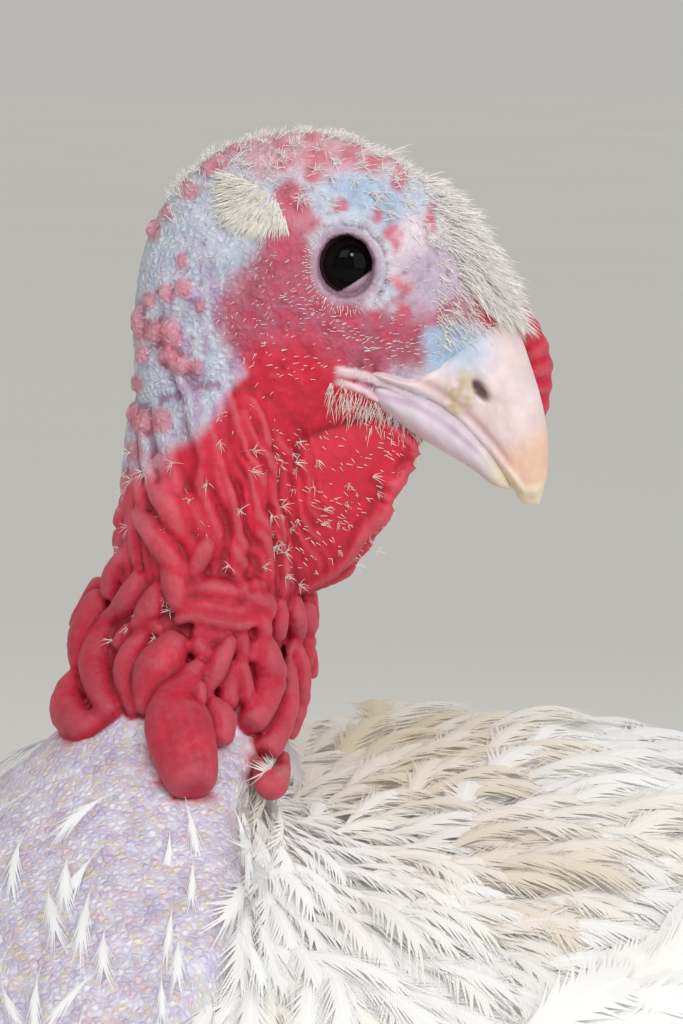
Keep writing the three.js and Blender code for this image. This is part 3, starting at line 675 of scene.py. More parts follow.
trunk_clay = joined([ring_shell(trunk_place, 120, 160)]
                    + [ring_shell(wing_place(side, WING["thick"] - 12), 32, 50) for side in (1, -1)]
                    + [thigh_shell(side, 8.0) for side in (1, -1)])
trunk_mesh = remeshed("trunk_clay", trunk_clay, 4.0, 2)
print("trunk:", len(trunk_mesh.polygons), "faces")

# %% [markdown]
# The two skins overlap inside the base of the neck. A boolean union makes one closed skin of them, and the
# seam lies under the caruncle lobes, where real skin has a crease as well.
# %% One skin
skin = bpy.data.objects.new("skin", head_mesh)
trunk_part = bpy.data.objects.new("trunk_part", trunk_mesh)
for obj in (skin, trunk_part):
    bpy.context.scene.collection.objects.link(obj)
union = skin.modifiers.new("union", "BOOLEAN")
union.operation, union.object, union.solver = "UNION", trunk_part, "EXACT"
whole_mesh = bpy.data.meshes.new_from_object(skin.evaluated_get(bpy.context.evaluated_depsgraph_get()))
skin.modifiers.clear()
skin.data = whole_mesh
bpy.data.objects.remove(trunk_part)
skin_points = corners_of(whole_mesh)
print("whole skin:", len(whole_mesh.polygons), "faces")

# %% [markdown]
# Folds look deep because the skin in them is painted darker, a painted shade, and the tops of the folds are
# painted paler and pinker, a painted highlight like a velvet sheen. How hollow each place is comes from
# comparing it with the average of its neighbours: inside a crease the average lies further out.
# %% Hollows and ridges
def hollowness(mesh, points, rounds):
    """How far each corner lies under the average of its surroundings, in millimetres."""
    pairs = np.empty(len(mesh.edges) * 2, np.int32)
    mesh.edges.foreach_get("vertices", pairs)
    a, b = pairs.reshape(-1, 2).T
    count = np.maximum(np.bincount(a, minlength=len(points)) + np.bincount(b, minlength=len(points)), 1)
    average = points.copy()
    for _ in range(rounds):
        average = np.stack([np.bincount(a, average[b, k], len(points)) + np.bincount(b, average[a, k],
                len(points))
                            for k in range(3)], 1) / count[:, None]
    return ((average - points) * outward(mesh)).sum(1)


hollow = hollowness(whole_mesh, skin_points, 14)
on_head = smooth_step(skin_points[:, 2], 530, 545) * (np.abs(skin_points[:, 0]) < 60)
# Masks for painted shade in the creases and a painted highlight on the tops of the folds.
crease_shade, ridge_highlight = smooth_step(hollow, 0.04, 0.5) * on_head, smooth_step(-hollow, 0.04, 0.5) * on_head
print("deepest crease, mm:", round(float(np.percentile(hollow[on_head > 0.5], 99)), 2))

# %% [markdown]
# A turkey's head changes from blue-white at the nape to violet-rose on the cheek and crimson on the throat.
# One function gives that colour at any point of the bird, and both the skin and the bristles ask it, so
# that their markings agree. Each patch is a soft oval whose edge is made uneven by smooth noise.
# %% Colours of the skin
def paint(red, green, blue):
    """A colour as it is mixed by a painter, 0 to 255, in the linear values that a shader needs."""
    c = np.array([red, green, blue]) / 255.0
    return np.where(c <= 0.04045, c / 12.92, ((c + 0.055) / 1.055) ** 2.4)


BLUE_WHITE, LILAC, SKY = paint(200, 206, 220), paint(184, 156, 192), paint(168, 190, 216)
BEAD_PINK, CHEEK, THROAT = paint(208, 104, 124), paint(178, 88, 112), paint(199, 28, 58)
CROWN_PINK, SPOT_RED, LORE = paint(210, 160, 172), paint(202, 78, 102), paint(192, 172, 194)
LID, WHITE_SKIN, LOBE_RED = paint(176, 150, 172), paint(226, 208, 216), paint(180, 30, 58)
BIB_PALE, BIB_VIOLET, BIB_ROSE = paint(238, 238, 250), paint(188, 180, 218), paint(230, 196, 212)


def spot(x, z, cx, cz, wide, tall, tilt=0.0, soft=0.35):
    dx, dz = x - cx, z - cz
    u = (dx * math.cos(tilt) + dz * math.sin(tilt)) / wide
    v = (-dx * math.sin(tilt) + dz * math.cos(tilt)) / tall
    return 1 - smooth_step(np.hypot(u, v), 1 - soft, 1 + soft)


def lay_over(colour, new, mask):
    return colour + (new - colour) * np.clip(mask, 0, 1)[:, None]


def throat_line(x):
    """Upper edge of the red skin of the throat, along the head."""
    return np.interp(x, [-62, -45, -36, -28, -22, -12, -2, 6, 14, 24],
                     [-60, -49, -41, -27, -18, -20, -25, -32, -39, -48])


def skin_tint(points):
    """Colour of the bare skin at points of the bird's frame."""
    h = to_head(points)
    wobble, fine = ripple(points, 7.0, 1.0), ripple(points, 2.2, 2.0)
    x, z = h[:, 0] + 3.0 * wobble + 1.2 * fine, h[:, 2] + 3.0 * ripple(points, 7.0, 4.0) + 1.2 * fine
    streak = smooth_step(ripple(points * [1.0, 1.0, 0.28], 2.4, 6.0), -0.1, 0.35)
    colour = np.tile(BLUE_WHITE, (len(points), 1))
    colour = lay_over(colour, SKY, 0.45 * smooth_step(ripple(points, 5.0, 8.0), -0.1, 0.5) * (z > -45))
    colour = lay_over(colour, LILAC, streak * spot(x, z, -31, -24, 17, 26, 0.3, 0.5) * 0.85)
    for cx, cz, wide, tall, tilt in ((-12, -12, 16, 17, 0), (4, -21, 22, 9, 0), (20, -18, 9, 8, 0),
                                     (-17, -1, 8, 11, 0),
                                     (-20, -17, 12, 12, 0)):
        colour = lay_over(colour, CHEEK, spot(x, z, cx, cz, wide, tall, tilt))
    mottled = smooth_step(ripple(points, 3.2, 14.0) + 0.4 * fine, -0.3, 0.6)
    colour = lay_over(colour, paint(190, 52, 78), 0.75 * mottled * spot(x, z, -6, -17, 26, 14, 0, 0.5))
    colour = lay_over(colour, SPOT_RED, 0.75 * spot(x, z, -14, 9, 6, 10) + 0.45 * spot(x, z, -14, -24, 16, 8))
    colour = lay_over(colour, CROWN_PINK, 0.85 * smooth_step(z, 20, 26) * smooth_step(x, -34, -22)
                      * (1 - smooth_step(x, 22, 34)))
    colour = lay_over(colour, SKY, 0.9 * spot(x, z, 9, 16, 14, 5.5, -0.5))
    colour = lay_over(colour, WHITE_SKIN, 0.8 * spot(x, z, 19, 2, 7, 12) + 0.9 * spot(x, z, 34, 6, 9, 16))
    colour = lay_over(colour, LORE, 0.9 * spot(x, z, 24, -5, 9, 10))
    colour = lay_over(colour, CHEEK, 0.7 * spot(x, z, 28, -14, 6, 3.5))
    colour = lay_over(colour, SKY, spot(x, z, 27.5, -23.5, 6.5, 8))
    colour = lay_over(colour, THROAT, spot(h[:, 0], h[:, 2], 41, -11, 7, 8) + smooth_step(h[:, 0], 44, 46.5))
    line = throat_line(x)
    throat = smooth_step(line - z, -4.5, 5.5)
    colour = lay_over(colour, THROAT, throat)
    colour = lay_over(colour, LILAC, 0.55 * streak * (1 - throat) * smooth_step(line + 14 - z, 0, 12)
                      * (x < -24))
    lip = np.minimum(np.abs(h[:, 2] - np.interp(h[:, 0], [-2, 3, 8, 13, 18, 24],
                                                [-28.4, -29.2, -30.8, -33.4, -36.4, -40])),
                     np.abs(h[:, 2] - np.interp(h[:, 0], [-1, 4, 9, 13, 20],
                                                [-31.4, -33.4, -36.4, -39.4, -44])) + 0.4)
    colour = lay_over(colour, WHITE_SKIN, 0.9 * (1 - smooth_step(lip, 0.9, 1.9)) * smooth_step(h[:, 0], -3.5,
            -1) * (h[:, 0] < 24))
    colour = lay_over(colour, paint(206, 150, 170), 0.7 * spot(x, z, 16, -40, 9, 4, -0.6, 0.5))
    colour = lay_over(colour, LOBE_RED, throat * smooth_step(-h[:, 2], 60, 90) * 0.75)
    for cx, cz, radius, tall in NAPE_BEADS:
        reach = spot(h[:, 0] * 0.7 + x * 0.3, h[:, 2] * 0.7 + z * 0.3, cx, cz, radius * 1.12,
                     radius * 1.12 * tall, 0, 0.4)
        colour = lay_over(colour, BEAD_PINK, 0.7 * reach * (1 - 0.6 * throat))
    for cx, cz, radius, tall in RED_SPOTS:
        reach = spot(x * 0.8 + h[:, 0] * 0.2, z * 0.8 + h[:, 2] * 0.2, cx, cz, radius, radius * tall, 0, 0.65)
        colour = lay_over(colour, BEAD_PINK if cz > 24 else SPOT_RED, 0.8 * reach)
    oval = np.hypot((h[:, 0] - 0.3) / 7.4, (h[:, 2] + 0.5) / 8.2)
    near_eye = np.abs(h[:, 1]) > 14
    colour = lay_over(colour, LID, 0.9 * (1 - smooth_step(oval, 1.12, 1.38)) * near_eye)
    colour = lay_over(colour, paint(120, 80, 96), 0.8 * (1 - smooth_step(np.abs(oval - 1.0), 0.03, 0.09))
                      * near_eye)
    return colour


def bib_tint(points):
    colour = np.tile(BIB_PALE, (len(points), 1))
    colour = lay_over(colour, BIB_VIOLET,
                      0.75 * smooth_step(ripple(points, 9.0, 3.0) + 0.6 * ripple(points, 2.5, 7.0), 0.0, 0.7))
    return lay_over(colour, BIB_ROSE,
                    0.8 * smooth_step(ripple(points, 6.0, 12.0) + 0.5 * ripple(points, 2.0, 1.0), 0.1, 0.7))


def neck_stand(points):
    axis_y = neck_axis(points[:, 2])
    return np.hypot(points[:, 0], points[:, 1] - axis_y)


below = EYE_LEVEL - skin_points[:, 2]
lobe_tree = BVHTree.FromPolygons(*[a.tolist() for a in joined(lobes + [hem])])
low = np.where((below > 96) & (below < 170) & (neck_stand(skin_points) < 95))[0]
on_lobe = np.zeros(len(skin_points))
for i in low.tolist():
    near = lobe_tree.find_nearest(Vector(skin_points[i]), 3.0)
    on_lobe[i] = 0.0 if near[0] is None else 1 - smooth_step(near[3], 0.9, 2.0)
bib = smooth_step(below, 113, 119) * (1 - on_lobe)
stations, angles = np.meshgrid(np.linspace(0.2, 0.99, 120), np.linspace(0, 2 * math.pi, 120), indexing="ij")
covered = (1 - bare(stations, angles)).ravel()
nearest = KDTree(covered.size)
for i, place in enumerate(trunk_place(stations, angles).reshape(-1, 3).tolist()):
    nearest.insert(place, i)
nearest.balance()
under_coat = np.array([covered[nearest.find(place)[1]] for place in skin_points.tolist()]) * bib
tint = skin_tint(skin_points) * (1 - bib)[:, None] + bib_tint(skin_points) * bib[:, None]
tint = lay_over(tint, paint(240, 236, 232), under_coat)
# Painted shade darkens the skin in the creases; a painted highlight makes the tops of the folds paler and
# pinker.
tint = tint * (1 - crease_shade[:, None] * np.array([0.42, 0.62, 0.55]) * (1 - 0.6 * bib)[:, None])
tint = tint + (np.array([0.86, 0.52, 0.58]) * tint.max(1, keepdims=True) + 0.08 - tint) * (0.15 * ridge_highlight
        * (1 - bib))[:, None]
print("bare bib share of the skin:", round(float(bib.mean()), 2))

# %% [markdown]
# Every finish in this scene is built from nodes. These small helpers add a node, join sockets and start a
# material, so that each finish below reads as a short list of what it mixes.
# %% Helpers for finishes
def feed(tree, socket, source):
    """Join a socket to another one, or set it to a plain value."""
    if isinstance(source, bpy.types.NodeSocket):
        tree.links.new(source, socket)
    else:
        socket.default_value = source


def add_node(tree, kind, *sources, **settings):
    """A node with its settings. Its sockets are fed in order by sources, or by name with _ for a space."""
    node = tree.nodes.new(kind)
    for key, value in settings.items():
        label = key.replace("_", " ")
        if label in node.inputs:
            feed(tree, node.inputs[label], value)
        else:
            setattr(node, key, value)
    for socket, source in zip(node.inputs, sources):
        feed(tree, socket, source)
    return node


def mapped(tree, source, low, high, start=(0.0, 1.0), **settings):
    """A value moved from the range start into the range from low to high."""
    limits = {"From_Min": start[0], "From_Max": start[1], "To_Min": low, "To_Max": high}
    return add_node(tree, "ShaderNodeMapRange", Value=source, **limits, **settings).outputs[0]


def worked_out(tree, operation, *sources):
    """One piece of arithmetic on sockets and plain numbers."""
    return add_node(tree, "ShaderNodeMath", *sources, operation=operation).outputs[0]


def in_place(tree):
    """Where a point of the surface is on its own piece."""
    return add_node(tree, "ShaderNodeTexCoord").outputs["Object"]


def stored(tree, name, output="Fac"):
    """A value or a colour that was stored with the corners of the mesh."""
    return add_node(tree, "ShaderNodeAttribute", attribute_name=name).outputs[output]


def coloured(tree, shader, colour, factor):
    """The colour times the factor is the finish's own colour."""
    lit = add_node(tree, "ShaderNodeVectorMath", colour, operation="SCALE", Scale=factor)
    tree.links.new(lit.outputs[0], shader.inputs["Base Color"])


def embossed(tree, shader, height, strength, distance):
    """Relief from a height, with the distance in metres."""
    bump = add_node(tree, "ShaderNodeBump", Strength=strength, Distance=distance, Height=height)
    tree.links.new(bump.outputs[0], shader.inputs["Normal"])


def new_finish(name, **constants):
    """A material with a Principled shader whose constant sockets are set directly on it."""
    material = bpy.data.materials.new(name)
    material.use_nodes = True
    shader = material.node_tree.nodes["Principled BSDF"]
    for socket, value in constants.items():
        shader.inputs[socket.replace("_", " ")].default_value = value
    return material, material.node_tree, shader


def new_group(name, inputs, outputs):
    tree = bpy.data.node_groups.new(name, "ShaderNodeTree")
    for label, kind, value in inputs:
        socket = tree.interface.new_socket(label, in_out="INPUT", socket_type=kind)
        if value is not None:
            socket.default_value = value
    for label, kind in outputs:
        tree.interface.new_socket(label, in_out="OUTPUT", socket_type=kind)
    return tree, tree.nodes.new("NodeGroupInput"), tree.nodes.new("NodeGroupOutput")


def place_group(tree, group, **values):
    node = tree.nodes.new("ShaderNodeGroup")
    node.node_tree = group
    for label, value in values.items():
        feed(tree, node.inputs[label.replace("_", " ")], value)
    return node


def ramp(tree, source, stops):
    """A colour picked from the stops by a value."""
    node = add_node(tree, "ShaderNodeValToRGB", source)
    elements = node.color_ramp.elements
    while len(elements) < len(stops):
        elements.new(0.5)
    for element, (place, value) in zip(elements, stops):
        element.position = place
        element.color = (*value, 1)
    return node.outputs["Color"]


# %% [markdown]
# Close up, bare turkey skin is pebbled on the head, finely creased on the red folds and coarsely beaded on
# the bib. One group makes all three: cells for pebbles, stretched noise for creases and fine noise that
# warps the cells, with a height for the bump and a shade that darkens the creases.
# %% Skin relief group
relief, relief_in, relief_out = new_group(
    "Skin relief",
    [("Pebble size", "NodeSocketFloat", 1.6), ("Pebbles", "NodeSocketFloat", 1.0),
     ("Creases", "NodeSocketFloat", 0.5)],
    [("Height", "NodeSocketFloat"), ("Shade", "NodeSocketFloat"), ("Flush", "NodeSocketFloat"),
     ("Cell", "NodeSocketFloat")])
WARP, CELL_ROUND, CREASE_STRETCH = 0.0012, 0.45, 0.35  # metres, and shares of a cell and of the height
coords = in_place(relief)
scale = worked_out(relief, "DIVIDE", 1000.0, relief_in.outputs["Pebble size"])
warp = add_node(relief, "ShaderNodeTexNoise", Vector=coords, Scale=700.0, Detail=3.0)
shifted = add_node(relief, "ShaderNodeVectorMath", warp.outputs["Color"], (WARP, WARP, WARP), coords,
                   operation="MULTIPLY_ADD").outputs[0]
cells = add_node(relief, "ShaderNodeTexVoronoi", feature="DISTANCE_TO_EDGE", Scale=scale, Vector=shifted)
round_top = mapped(relief, cells.outputs["Distance"], 0.0, 1.0, (0.0, CELL_ROUND),
                   interpolation_type="SMOOTHSTEP")
pebble = worked_out(relief, "MULTIPLY", round_top, relief_in.outputs["Pebbles"])
long_way = add_node(relief, "ShaderNodeMapping", Vector=shifted, Scale=(1.0, 1.0, CREASE_STRETCH))
crease = add_node(relief, "ShaderNodeTexNoise", Vector=long_way.outputs[0], Scale=900.0, Detail=4.0,
                  Roughness=0.6)
crease_share = worked_out(relief, "MULTIPLY", crease.outputs["Fac"], relief_in.outputs["Creases"])
height = worked_out(relief, "ADD", pebble, crease_share)
shade = mapped(relief, round_top, 0.82, 1.02, (0.0, 0.6))
blend_shade = add_node(relief, "ShaderNodeMix", relief_in.outputs["Pebbles"], data_type="FLOAT")
feed(relief, blend_shade.inputs[2], 1.0)
feed(relief, blend_shade.inputs[3], shade)
cell_kind = add_node(relief, "ShaderNodeTexVoronoi", feature="F1", Scale=scale, Vector=shifted)
cell_parts = add_node(relief, "ShaderNodeSeparateColor", cell_kind.outputs["Color"])
flush = add_node(relief, "ShaderNodeTexNoise", Vector=coords, Scale=140.0, Detail=5.0, Roughness=0.65)
for label, source in (("Height", height), ("Shade", blend_shade.outputs[0]),
                      ("Cell", cell_parts.outputs[0]), ("Flush", flush.outputs["Fac"])):
    feed(relief, relief_out.inputs[label], source)
print("groups:", [g.name for g in bpy.data.node_groups])

# %% [markdown]
# The skin's own finish takes its colour from the painted patches, lets blood show unevenly through it, and
# takes its relief from the group. How pebbled a place is was stored with each corner of the mesh: strong on
# the nape and bib, faint on the smooth red folds. A little light scatters under the surface, as it does in
# flesh.
# %% Skin finish
def colour_layer(mesh, name, colours):
    layer = mesh.color_attributes.new(name, "FLOAT_COLOR", "POINT")
    layer.data.foreach_set("color",
                           np.hstack([colours, np.ones((len(colours), 1))]).astype(np.float32).ravel())


def value_layer(mesh, name, values):
    mesh.attributes.new(name, "FLOAT", "POINT").data.foreach_set("value", np.asarray(values, np.float32))


h = to_head(skin_points)
red_part = smooth_step(throat_line(h[:, 0]) - h[:, 2], -4, 5) * (1 - bib)
pebbly = np.clip((1 - red_part) * (0.5 + 0.5 * smooth_step(-h[:, 0], 5, 25)), 0.12, 1)
colour_layer(skin.data, "tint", tint)
value_layer(skin.data, "pebbly", pebbly)
value_layer(skin.data, "woven", bib * (1 - under_coat))

skin_finish, tree, shader = new_finish("turkey_skin", Roughness=0.5, Subsurface_Weight=0.12,
                                       Subsurface_Scale=0.002,
                                       Specular_IOR_Level=0.35, Sheen_Weight=0.06, Sheen_Roughness=0.4)
shader.inputs["Subsurface Radius"].default_value = (1.0, 0.3, 0.25)
relief_node = place_group(tree, relief, Pebble_size=1.9, Creases=0.7, Pebbles=stored(tree, "pebbly"))
flushed = mapped(tree, relief_node.outputs["Flush"], 0.82, 1.16, (0.3, 0.7))
strength = worked_out(tree, "MULTIPLY", flushed, relief_node.outputs["Shade"])
cell_tones = ramp(tree, relief_node.outputs["Cell"], [
    (0.0, paint(238, 236, 240)), (0.35, paint(220, 216, 238)), (0.6, paint(192, 180, 216)),
    (0.8, paint(226, 196, 204)), (0.95, paint(226, 214, 178))])
woven_share = worked_out(tree, "MULTIPLY", stored(tree, "woven"), 0.6)
with_cells = add_node(tree, "ShaderNodeMix", woven_share, data_type="RGBA")
feed(tree, with_cells.inputs[6], stored(tree, "tint", "Color"))
feed(tree, with_cells.inputs[7], cell_tones)
coloured(tree, shader, with_cells.outputs[2], strength)
feed(tree, shader.inputs["Roughness"], mapped(tree, relief_node.outputs["Flush"], 0.42, 0.62))
embossed(tree, shader, relief_node.outputs["Height"], 0.75, 0.0006)

move_corners(skin.data, to_metres(skin_points))
skin.data.materials.clear()
skin.data.materials.append(skin_finish)
skin.data.polygons.foreach_set("use_smooth", np.full(len(skin.data.polygons), True))
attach(skin, "root")
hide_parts("head", "neck_upper", "neck_lower", "dewlap", "caruncles", "trunk", "snood", "thigh_left",
            "thigh_right", "wing_left", "wing_right")
print("skin finish ready")

# %% [markdown]
# The eyes are dark brown, almost black, with a wide pupil and a clear bulging cornea that carries the
# highlight. Each is one ball whose colour depends on the distance from its axis. The front is pushed out a
# little for the cornea.
# %% Eyes
IRIS, PUPIL, EYE_WHITE, HAW = paint(22, 13, 11), paint(4, 3, 5), paint(60, 42, 48), paint(206, 176, 198)
eye_finish, tree, shader = new_finish("eye_glass", Roughness=0.03, Specular_IOR_Level=0.08)
streaks = add_node(tree, "ShaderNodeTexNoise", Vector=in_place(tree), Scale=900.0, Detail=3.0)
coloured(tree, shader, stored(tree, "tint", "Color"), mapped(tree, streaks.outputs["Fac"], 0.6, 1.4))
for side, name in ((1, "left"), (-1, "right")):
    axis = unit([0.16, side, 0.02])
    aside = unit(np.cross(axis, [0, 0, 1.0]))
    upright = np.cross(aside, axis)
    eye_middle = np.array([0.2, side * 10.2, -0.4])

    def eye_place(t, angle):
        tilt = math.pi * t
        radius = EYE_RADIUS * (1 + 0.075 * (1 - smooth_step(tilt, 0.35, 0.75)))
        out = axis * np.cos(tilt)[..., None] + (aside * np.cos(angle)[..., None] + upright
                                                * np.sin(angle)[..., None]) \
            * np.sin(tilt)[..., None]
        return from_head(eye_middle + out * radius[..., None])

    points, faces = ring_shell(eye_place, 64, 72)
    local = to_head(points) - eye_middle
    off = np.degrees(np.arccos(np.clip(unit(local) @ axis, -1, 1)))
    colour = np.tile(EYE_WHITE, (len(points), 1))
    colour = lay_over(colour, IRIS, 1 - smooth_step(off, 46, 50))
    colour = lay_over(colour, PUPIL, 1 - smooth_step(off, 30, 34))
    colour = lay_over(colour, PUPIL, 0.7 * smooth_step(off, 42, 46) * (1 - smooth_step(off, 46, 50)))
    corner = local[:, 0] * 0.55 - local[:, 2] * 0.83
    colour = lay_over(colour, HAW, smooth_step(corner, 4.9, 5.3))
    eyeball = mesh_piece("eyeball_" + name, to_metres(points), faces)
    colour_layer(eyeball.data, "tint", colour)
    eyeball.data.materials.append(eye_finish)
    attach(eyeball, "root")
    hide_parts("eye_" + name)
print("eyes, mm across:", 2 * EYE_RADIUS)

# %% [markdown]
# The bill is horn over bone. The upper half is roofed and ends in a hook with a worn pale tip; its edge is
# a rounded rim, and the nostril is a slanting slit under a swollen shelf. The lower half is a trough that
# fits inside the rim. Each half is a fine shell of sections whose corners are then pushed to shape the
# nostril, the rim and the ridge.
# %% Bill
UPPER_BILL = [[-2, -29, -2, -29, 0], [8, -27.4, 8, -31.4, 15.6], [18, -28.6, 17, -35.4, 13.2],
              [28, -21, 24, -39.4, 10.8],
              [37, -13.2, 29.5, -43.6, 9.8], [45, -17, 34, -48, 9.4], [50, -29, 39.5, -54, 7.8],
              [53.6, -42, 44.5, -60.5, 5.6],
              [54.8, -55, 47.8, -65.6, 3.2], [52.4, -66, 52.4, -66, 0]]
LOWER_BILL = [[0, -31, 0, -31, 0], [8, -29, 9, -40, 14.2], [18, -31.5, 18, -47, 11.8],
              [27, -37.5, 26, -52, 9.2],
              [35.5, -45.5, 33.5, -56.6, 6.8], [42, -54, 40, -61.4, 4], [45.6, -62.6, 45.6, -62.6, 0]]
HORN_PINK, HORN_PEACH = paint(226, 206, 208), paint(228, 186, 158)
HORN_YELLOW, HORN_LILAC, CRUST = paint(222, 210, 170), paint(212, 198, 210), paint(196, 178, 130)


def upper_bill(t, angle):
    p = head_at(UPPER_BILL, t, angle)
    roof = np.clip(np.cos(angle), 0, 1)
    return p * np.stack([np.ones_like(roof), 1 - 0.16 * roof, np.ones_like(roof)], -1)


horn_finish, tree, shader = new_finish("bill_horn", Roughness=0.42, Subsurface_Weight=0.15,
                                       Subsurface_Scale=0.002,
                                       Specular_IOR_Level=0.45)
shader.inputs["Subsurface Radius"].default_value = (1.0, 0.55, 0.4)
stretch = add_node(tree, "ShaderNodeMapping", Vector=in_place(tree), Scale=(1.0, 0.3, 0.45),
                   Rotation=(0.0, 0.0, math.radians(45)))
layers = add_node(tree, "ShaderNodeTexNoise", Vector=stretch.outputs[0], Scale=420.0, Detail=5.0,
                  Roughness=0.6).outputs["Fac"]
coloured(tree, shader, stored(tree, "tint", "Color"), mapped(tree, layers, 0.88, 1.08, (0.3, 0.7)))
embossed(tree, shader, layers, 0.35, 0.0004)

points, faces = ring_shell(upper_bill, 112, 150)
h = points
side_on = np.abs(h[:, 1]) > 2.0
slit = np.stack([(h[:, 0] - 36) * math.cos(-0.95) + (h[:, 2] + 34.5) * math.sin(-0.95),
                 -(h[:, 0] - 36) * math.sin(-0.95) + (h[:, 2] + 34.5) * math.cos(-0.95)], -1)
reach = np.hypot(slit[:, 0] / 4.0, slit[:, 1] / 1.7)
pit = (1 - smooth_step(reach, 0.55, 1.1)) * side_on
shelf = spot(slit[:, 0], slit[:, 1], -0.5, 3.6, 5.5, 2.0, 0, 0.5) * side_on
crust = spot(h[:, 0], h[:, 2], 30.5, -35.5, 4.2, 6.5, -0.3, 0.4) * side_on
rim_line = np.interp(h[:, 0], [6, 17, 24, 29.5, 34, 39.5, 44.5, 48],
                     [-30.5, -34.6, -38.6, -42.8, -47.2, -53.2, -59.6, -64])
above_rim = h[:, 2] - rim_line
rim = np.exp(-((above_rim - 1.8) / 1.7) ** 2) * smooth_step(h[:, 0], 4, 12)
under_rim = np.exp(-((above_rim - 5.2) / 1.4) ** 2) * smooth_step(h[:, 0], 10,
                                                                  16) * (1 - smooth_step(h[:, 0], 40, 46))
push = 1.0 * rim - 0.5 * under_rim - 3.4 * pit + 1.0 * shelf + 0.5 * crust * (1 + ripple(h, 1.6, 3.0))
push += 0.14 * ripple(h, 2.6, 2.0) * (1 - pit)
h = h + np.stack([np.zeros(len(h)), np.sign(h[:, 1]) * push * smooth_step(np.abs(h[:, 1]), 0.3, 2.5),
                  np.zeros(len(h))], -1)
ahead = h[:, 0] * 0.45 - h[:, 2] * 0.9  # grows along the bill towards its tip
colour = np.tile(HORN_PINK, (len(h), 1))
colour = lay_over(colour, SKY, 0.8 * spot(h[:, 0], h[:, 2], 30, -22, 9, 7, -0.5, 0.6))
colour = lay_over(colour, HORN_PEACH, 0.85 * smooth_step(ahead, 60, 70) * smooth_step(above_rim, 1.5, 5))
colour = lay_over(colour, HORN_YELLOW, 0.75 * smooth_step(ahead, 66, 74) * (1 - smooth_step(above_rim, 1, 5)))
colour = lay_over(colour, WHITE_SKIN, 0.7 * rim * (1 - smooth_step(ahead, 58, 66)))
# Painted shade: the colour is darker in the groove pressed in under the rim.
colour = lay_over(colour, paint(190, 140, 150), 0.55 * under_rim)
colour = lay_over(colour, CRUST, 0.75 * crust * smooth_step(ripple(h, 2.0, 8.0), -0.5, 0.2))
# Painted shade: dark inside the pressed-in nostril slit.
colour = lay_over(colour, paint(96, 58, 60), 0.85 * (1 - smooth_step(reach, 0.5, 1.0)) * side_on)
bill_top = mesh_piece("bill_top", to_metres(from_head(h)), facing_out(from_head(h), faces))
colour_layer(bill_top.data, "tint", colour)

points, faces = ring_shell(lambda t, a: head_at(LOWER_BILL, t, a, -0.5), 88, 110)
h = points
upper_edge = np.interp(h[:, 0], [0, 8, 18, 27, 35.5, 42, 45.6], [-31, -29, -31.5, -37.5, -45.5, -54, -62.6])
fold = np.exp(-((upper_edge - h[:, 2] - 6.0) / 1.2) ** 2) * smooth_step(h[:, 0], 4,
        12) * (1 - smooth_step(h[:, 0], 32, 40))
h = h - np.stack([np.zeros(len(h)), np.sign(h[:, 1]) * 0.7 * fold * smooth_step(np.abs(h[:, 1]), 0.3, 2.5),
                  np.zeros(len(h))], -1)
colour = np.tile(HORN_LILAC, (len(h), 1))
colour = lay_over(colour, HORN_YELLOW, 0.7 * smooth_step(h[:, 0], 34, 43))
# Painted shade: darker in the fold pressed into the lower bill.
colour = lay_over(colour, paint(176, 146, 170), 0.6 * fold)
bill_base = mesh_piece("bill_under", to_metres(from_head(h)), facing_out(from_head(h), faces))
colour_layer(bill_base.data, "tint", colour)
for piece, node in ((bill_top, "bill_upper"), (bill_base, "bill_lower")):
    piece.data.materials.append(horn_finish)
    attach(piece, "root")
    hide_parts(node)
print("bill halves:", len(bill_top.data.polygons), len(bill_base.data.polygons), "triangles")

# %% [markdown]
# Shank, foot and toes carry scales: a row of broad plates down the front of the shank and over each toe,
# small round ones elsewhere, and soft pads below. The leg is cast as tubes, melted into one skin, and the
# plates are then raised by their distance along each bone.
# %% Legs and feet
TOES = {"inner": (-34, 66, 8.4), "middle": (2, 92, 9.4), "outer": (38, 68, 8.4), "hind": (172, 36, 6.6)}
SHANK_PINK, SHANK_GREY = paint(222, 196, 186), paint(192, 172, 166)


def toe_way(side, name, shares=(0, 0.4, 0.75, 1)):
    heading, length, radius = TOES[name]
    turn = math.radians(heading)
    sizes = np.interp(shares, [0, 0.4, 0.75, 1], [1, 0.94, 0.86, 0.8]) * radius
    way = [[side * (82 + length * s * math.sin(turn)), 30 - length * s * math.cos(turn), r * 0.72] for s,
           r in zip(shares, sizes)]
    return np.array(way), sizes


def nearest_on(points, way):
    """Distance along a curve and distance from it, for each point."""
    way = spline(np.array(way, float), np.linspace(0, 1, 60))
    lengths = np.concatenate([[0], np.cumsum(np.linalg.norm(np.diff(way, axis=0), axis=1))])
    index = np.empty(len(points), int)
    for first in range(0, len(points), 4000):
        block = points[first:first + 4000]
        index[first:first + 4000] = ((block[:, None] - way[None]) ** 2).sum(-1).argmin(1)
    return lengths[index], np.linalg.norm(points - way[index], axis=1)


leg_finish, tree, shader = new_finish("leg_scales", Roughness=0.55, Subsurface_Weight=0.08,
                                      Subsurface_Scale=0.002,
                                      Specular_IOR_Level=0.4)
grains = add_node(tree, "ShaderNodeTexVoronoi", feature="DISTANCE_TO_EDGE", Vector=in_place(tree),
                  Scale=420.0)
# Painted shade: the colour darkens towards the edge of each small scale, and the same value raises the scales
# as a bump.
dome_height_and_shade = mapped(tree, grains.outputs["Distance"], 0.72, 1.0, (0.0, 0.25), interpolation_type="SMOOTHSTEP")
coloured(tree, shader, stored(tree, "tint", "Color"), dome_height_and_shade)
embossed(tree, shader, dome_height_and_shade, 0.5, 0.0005)

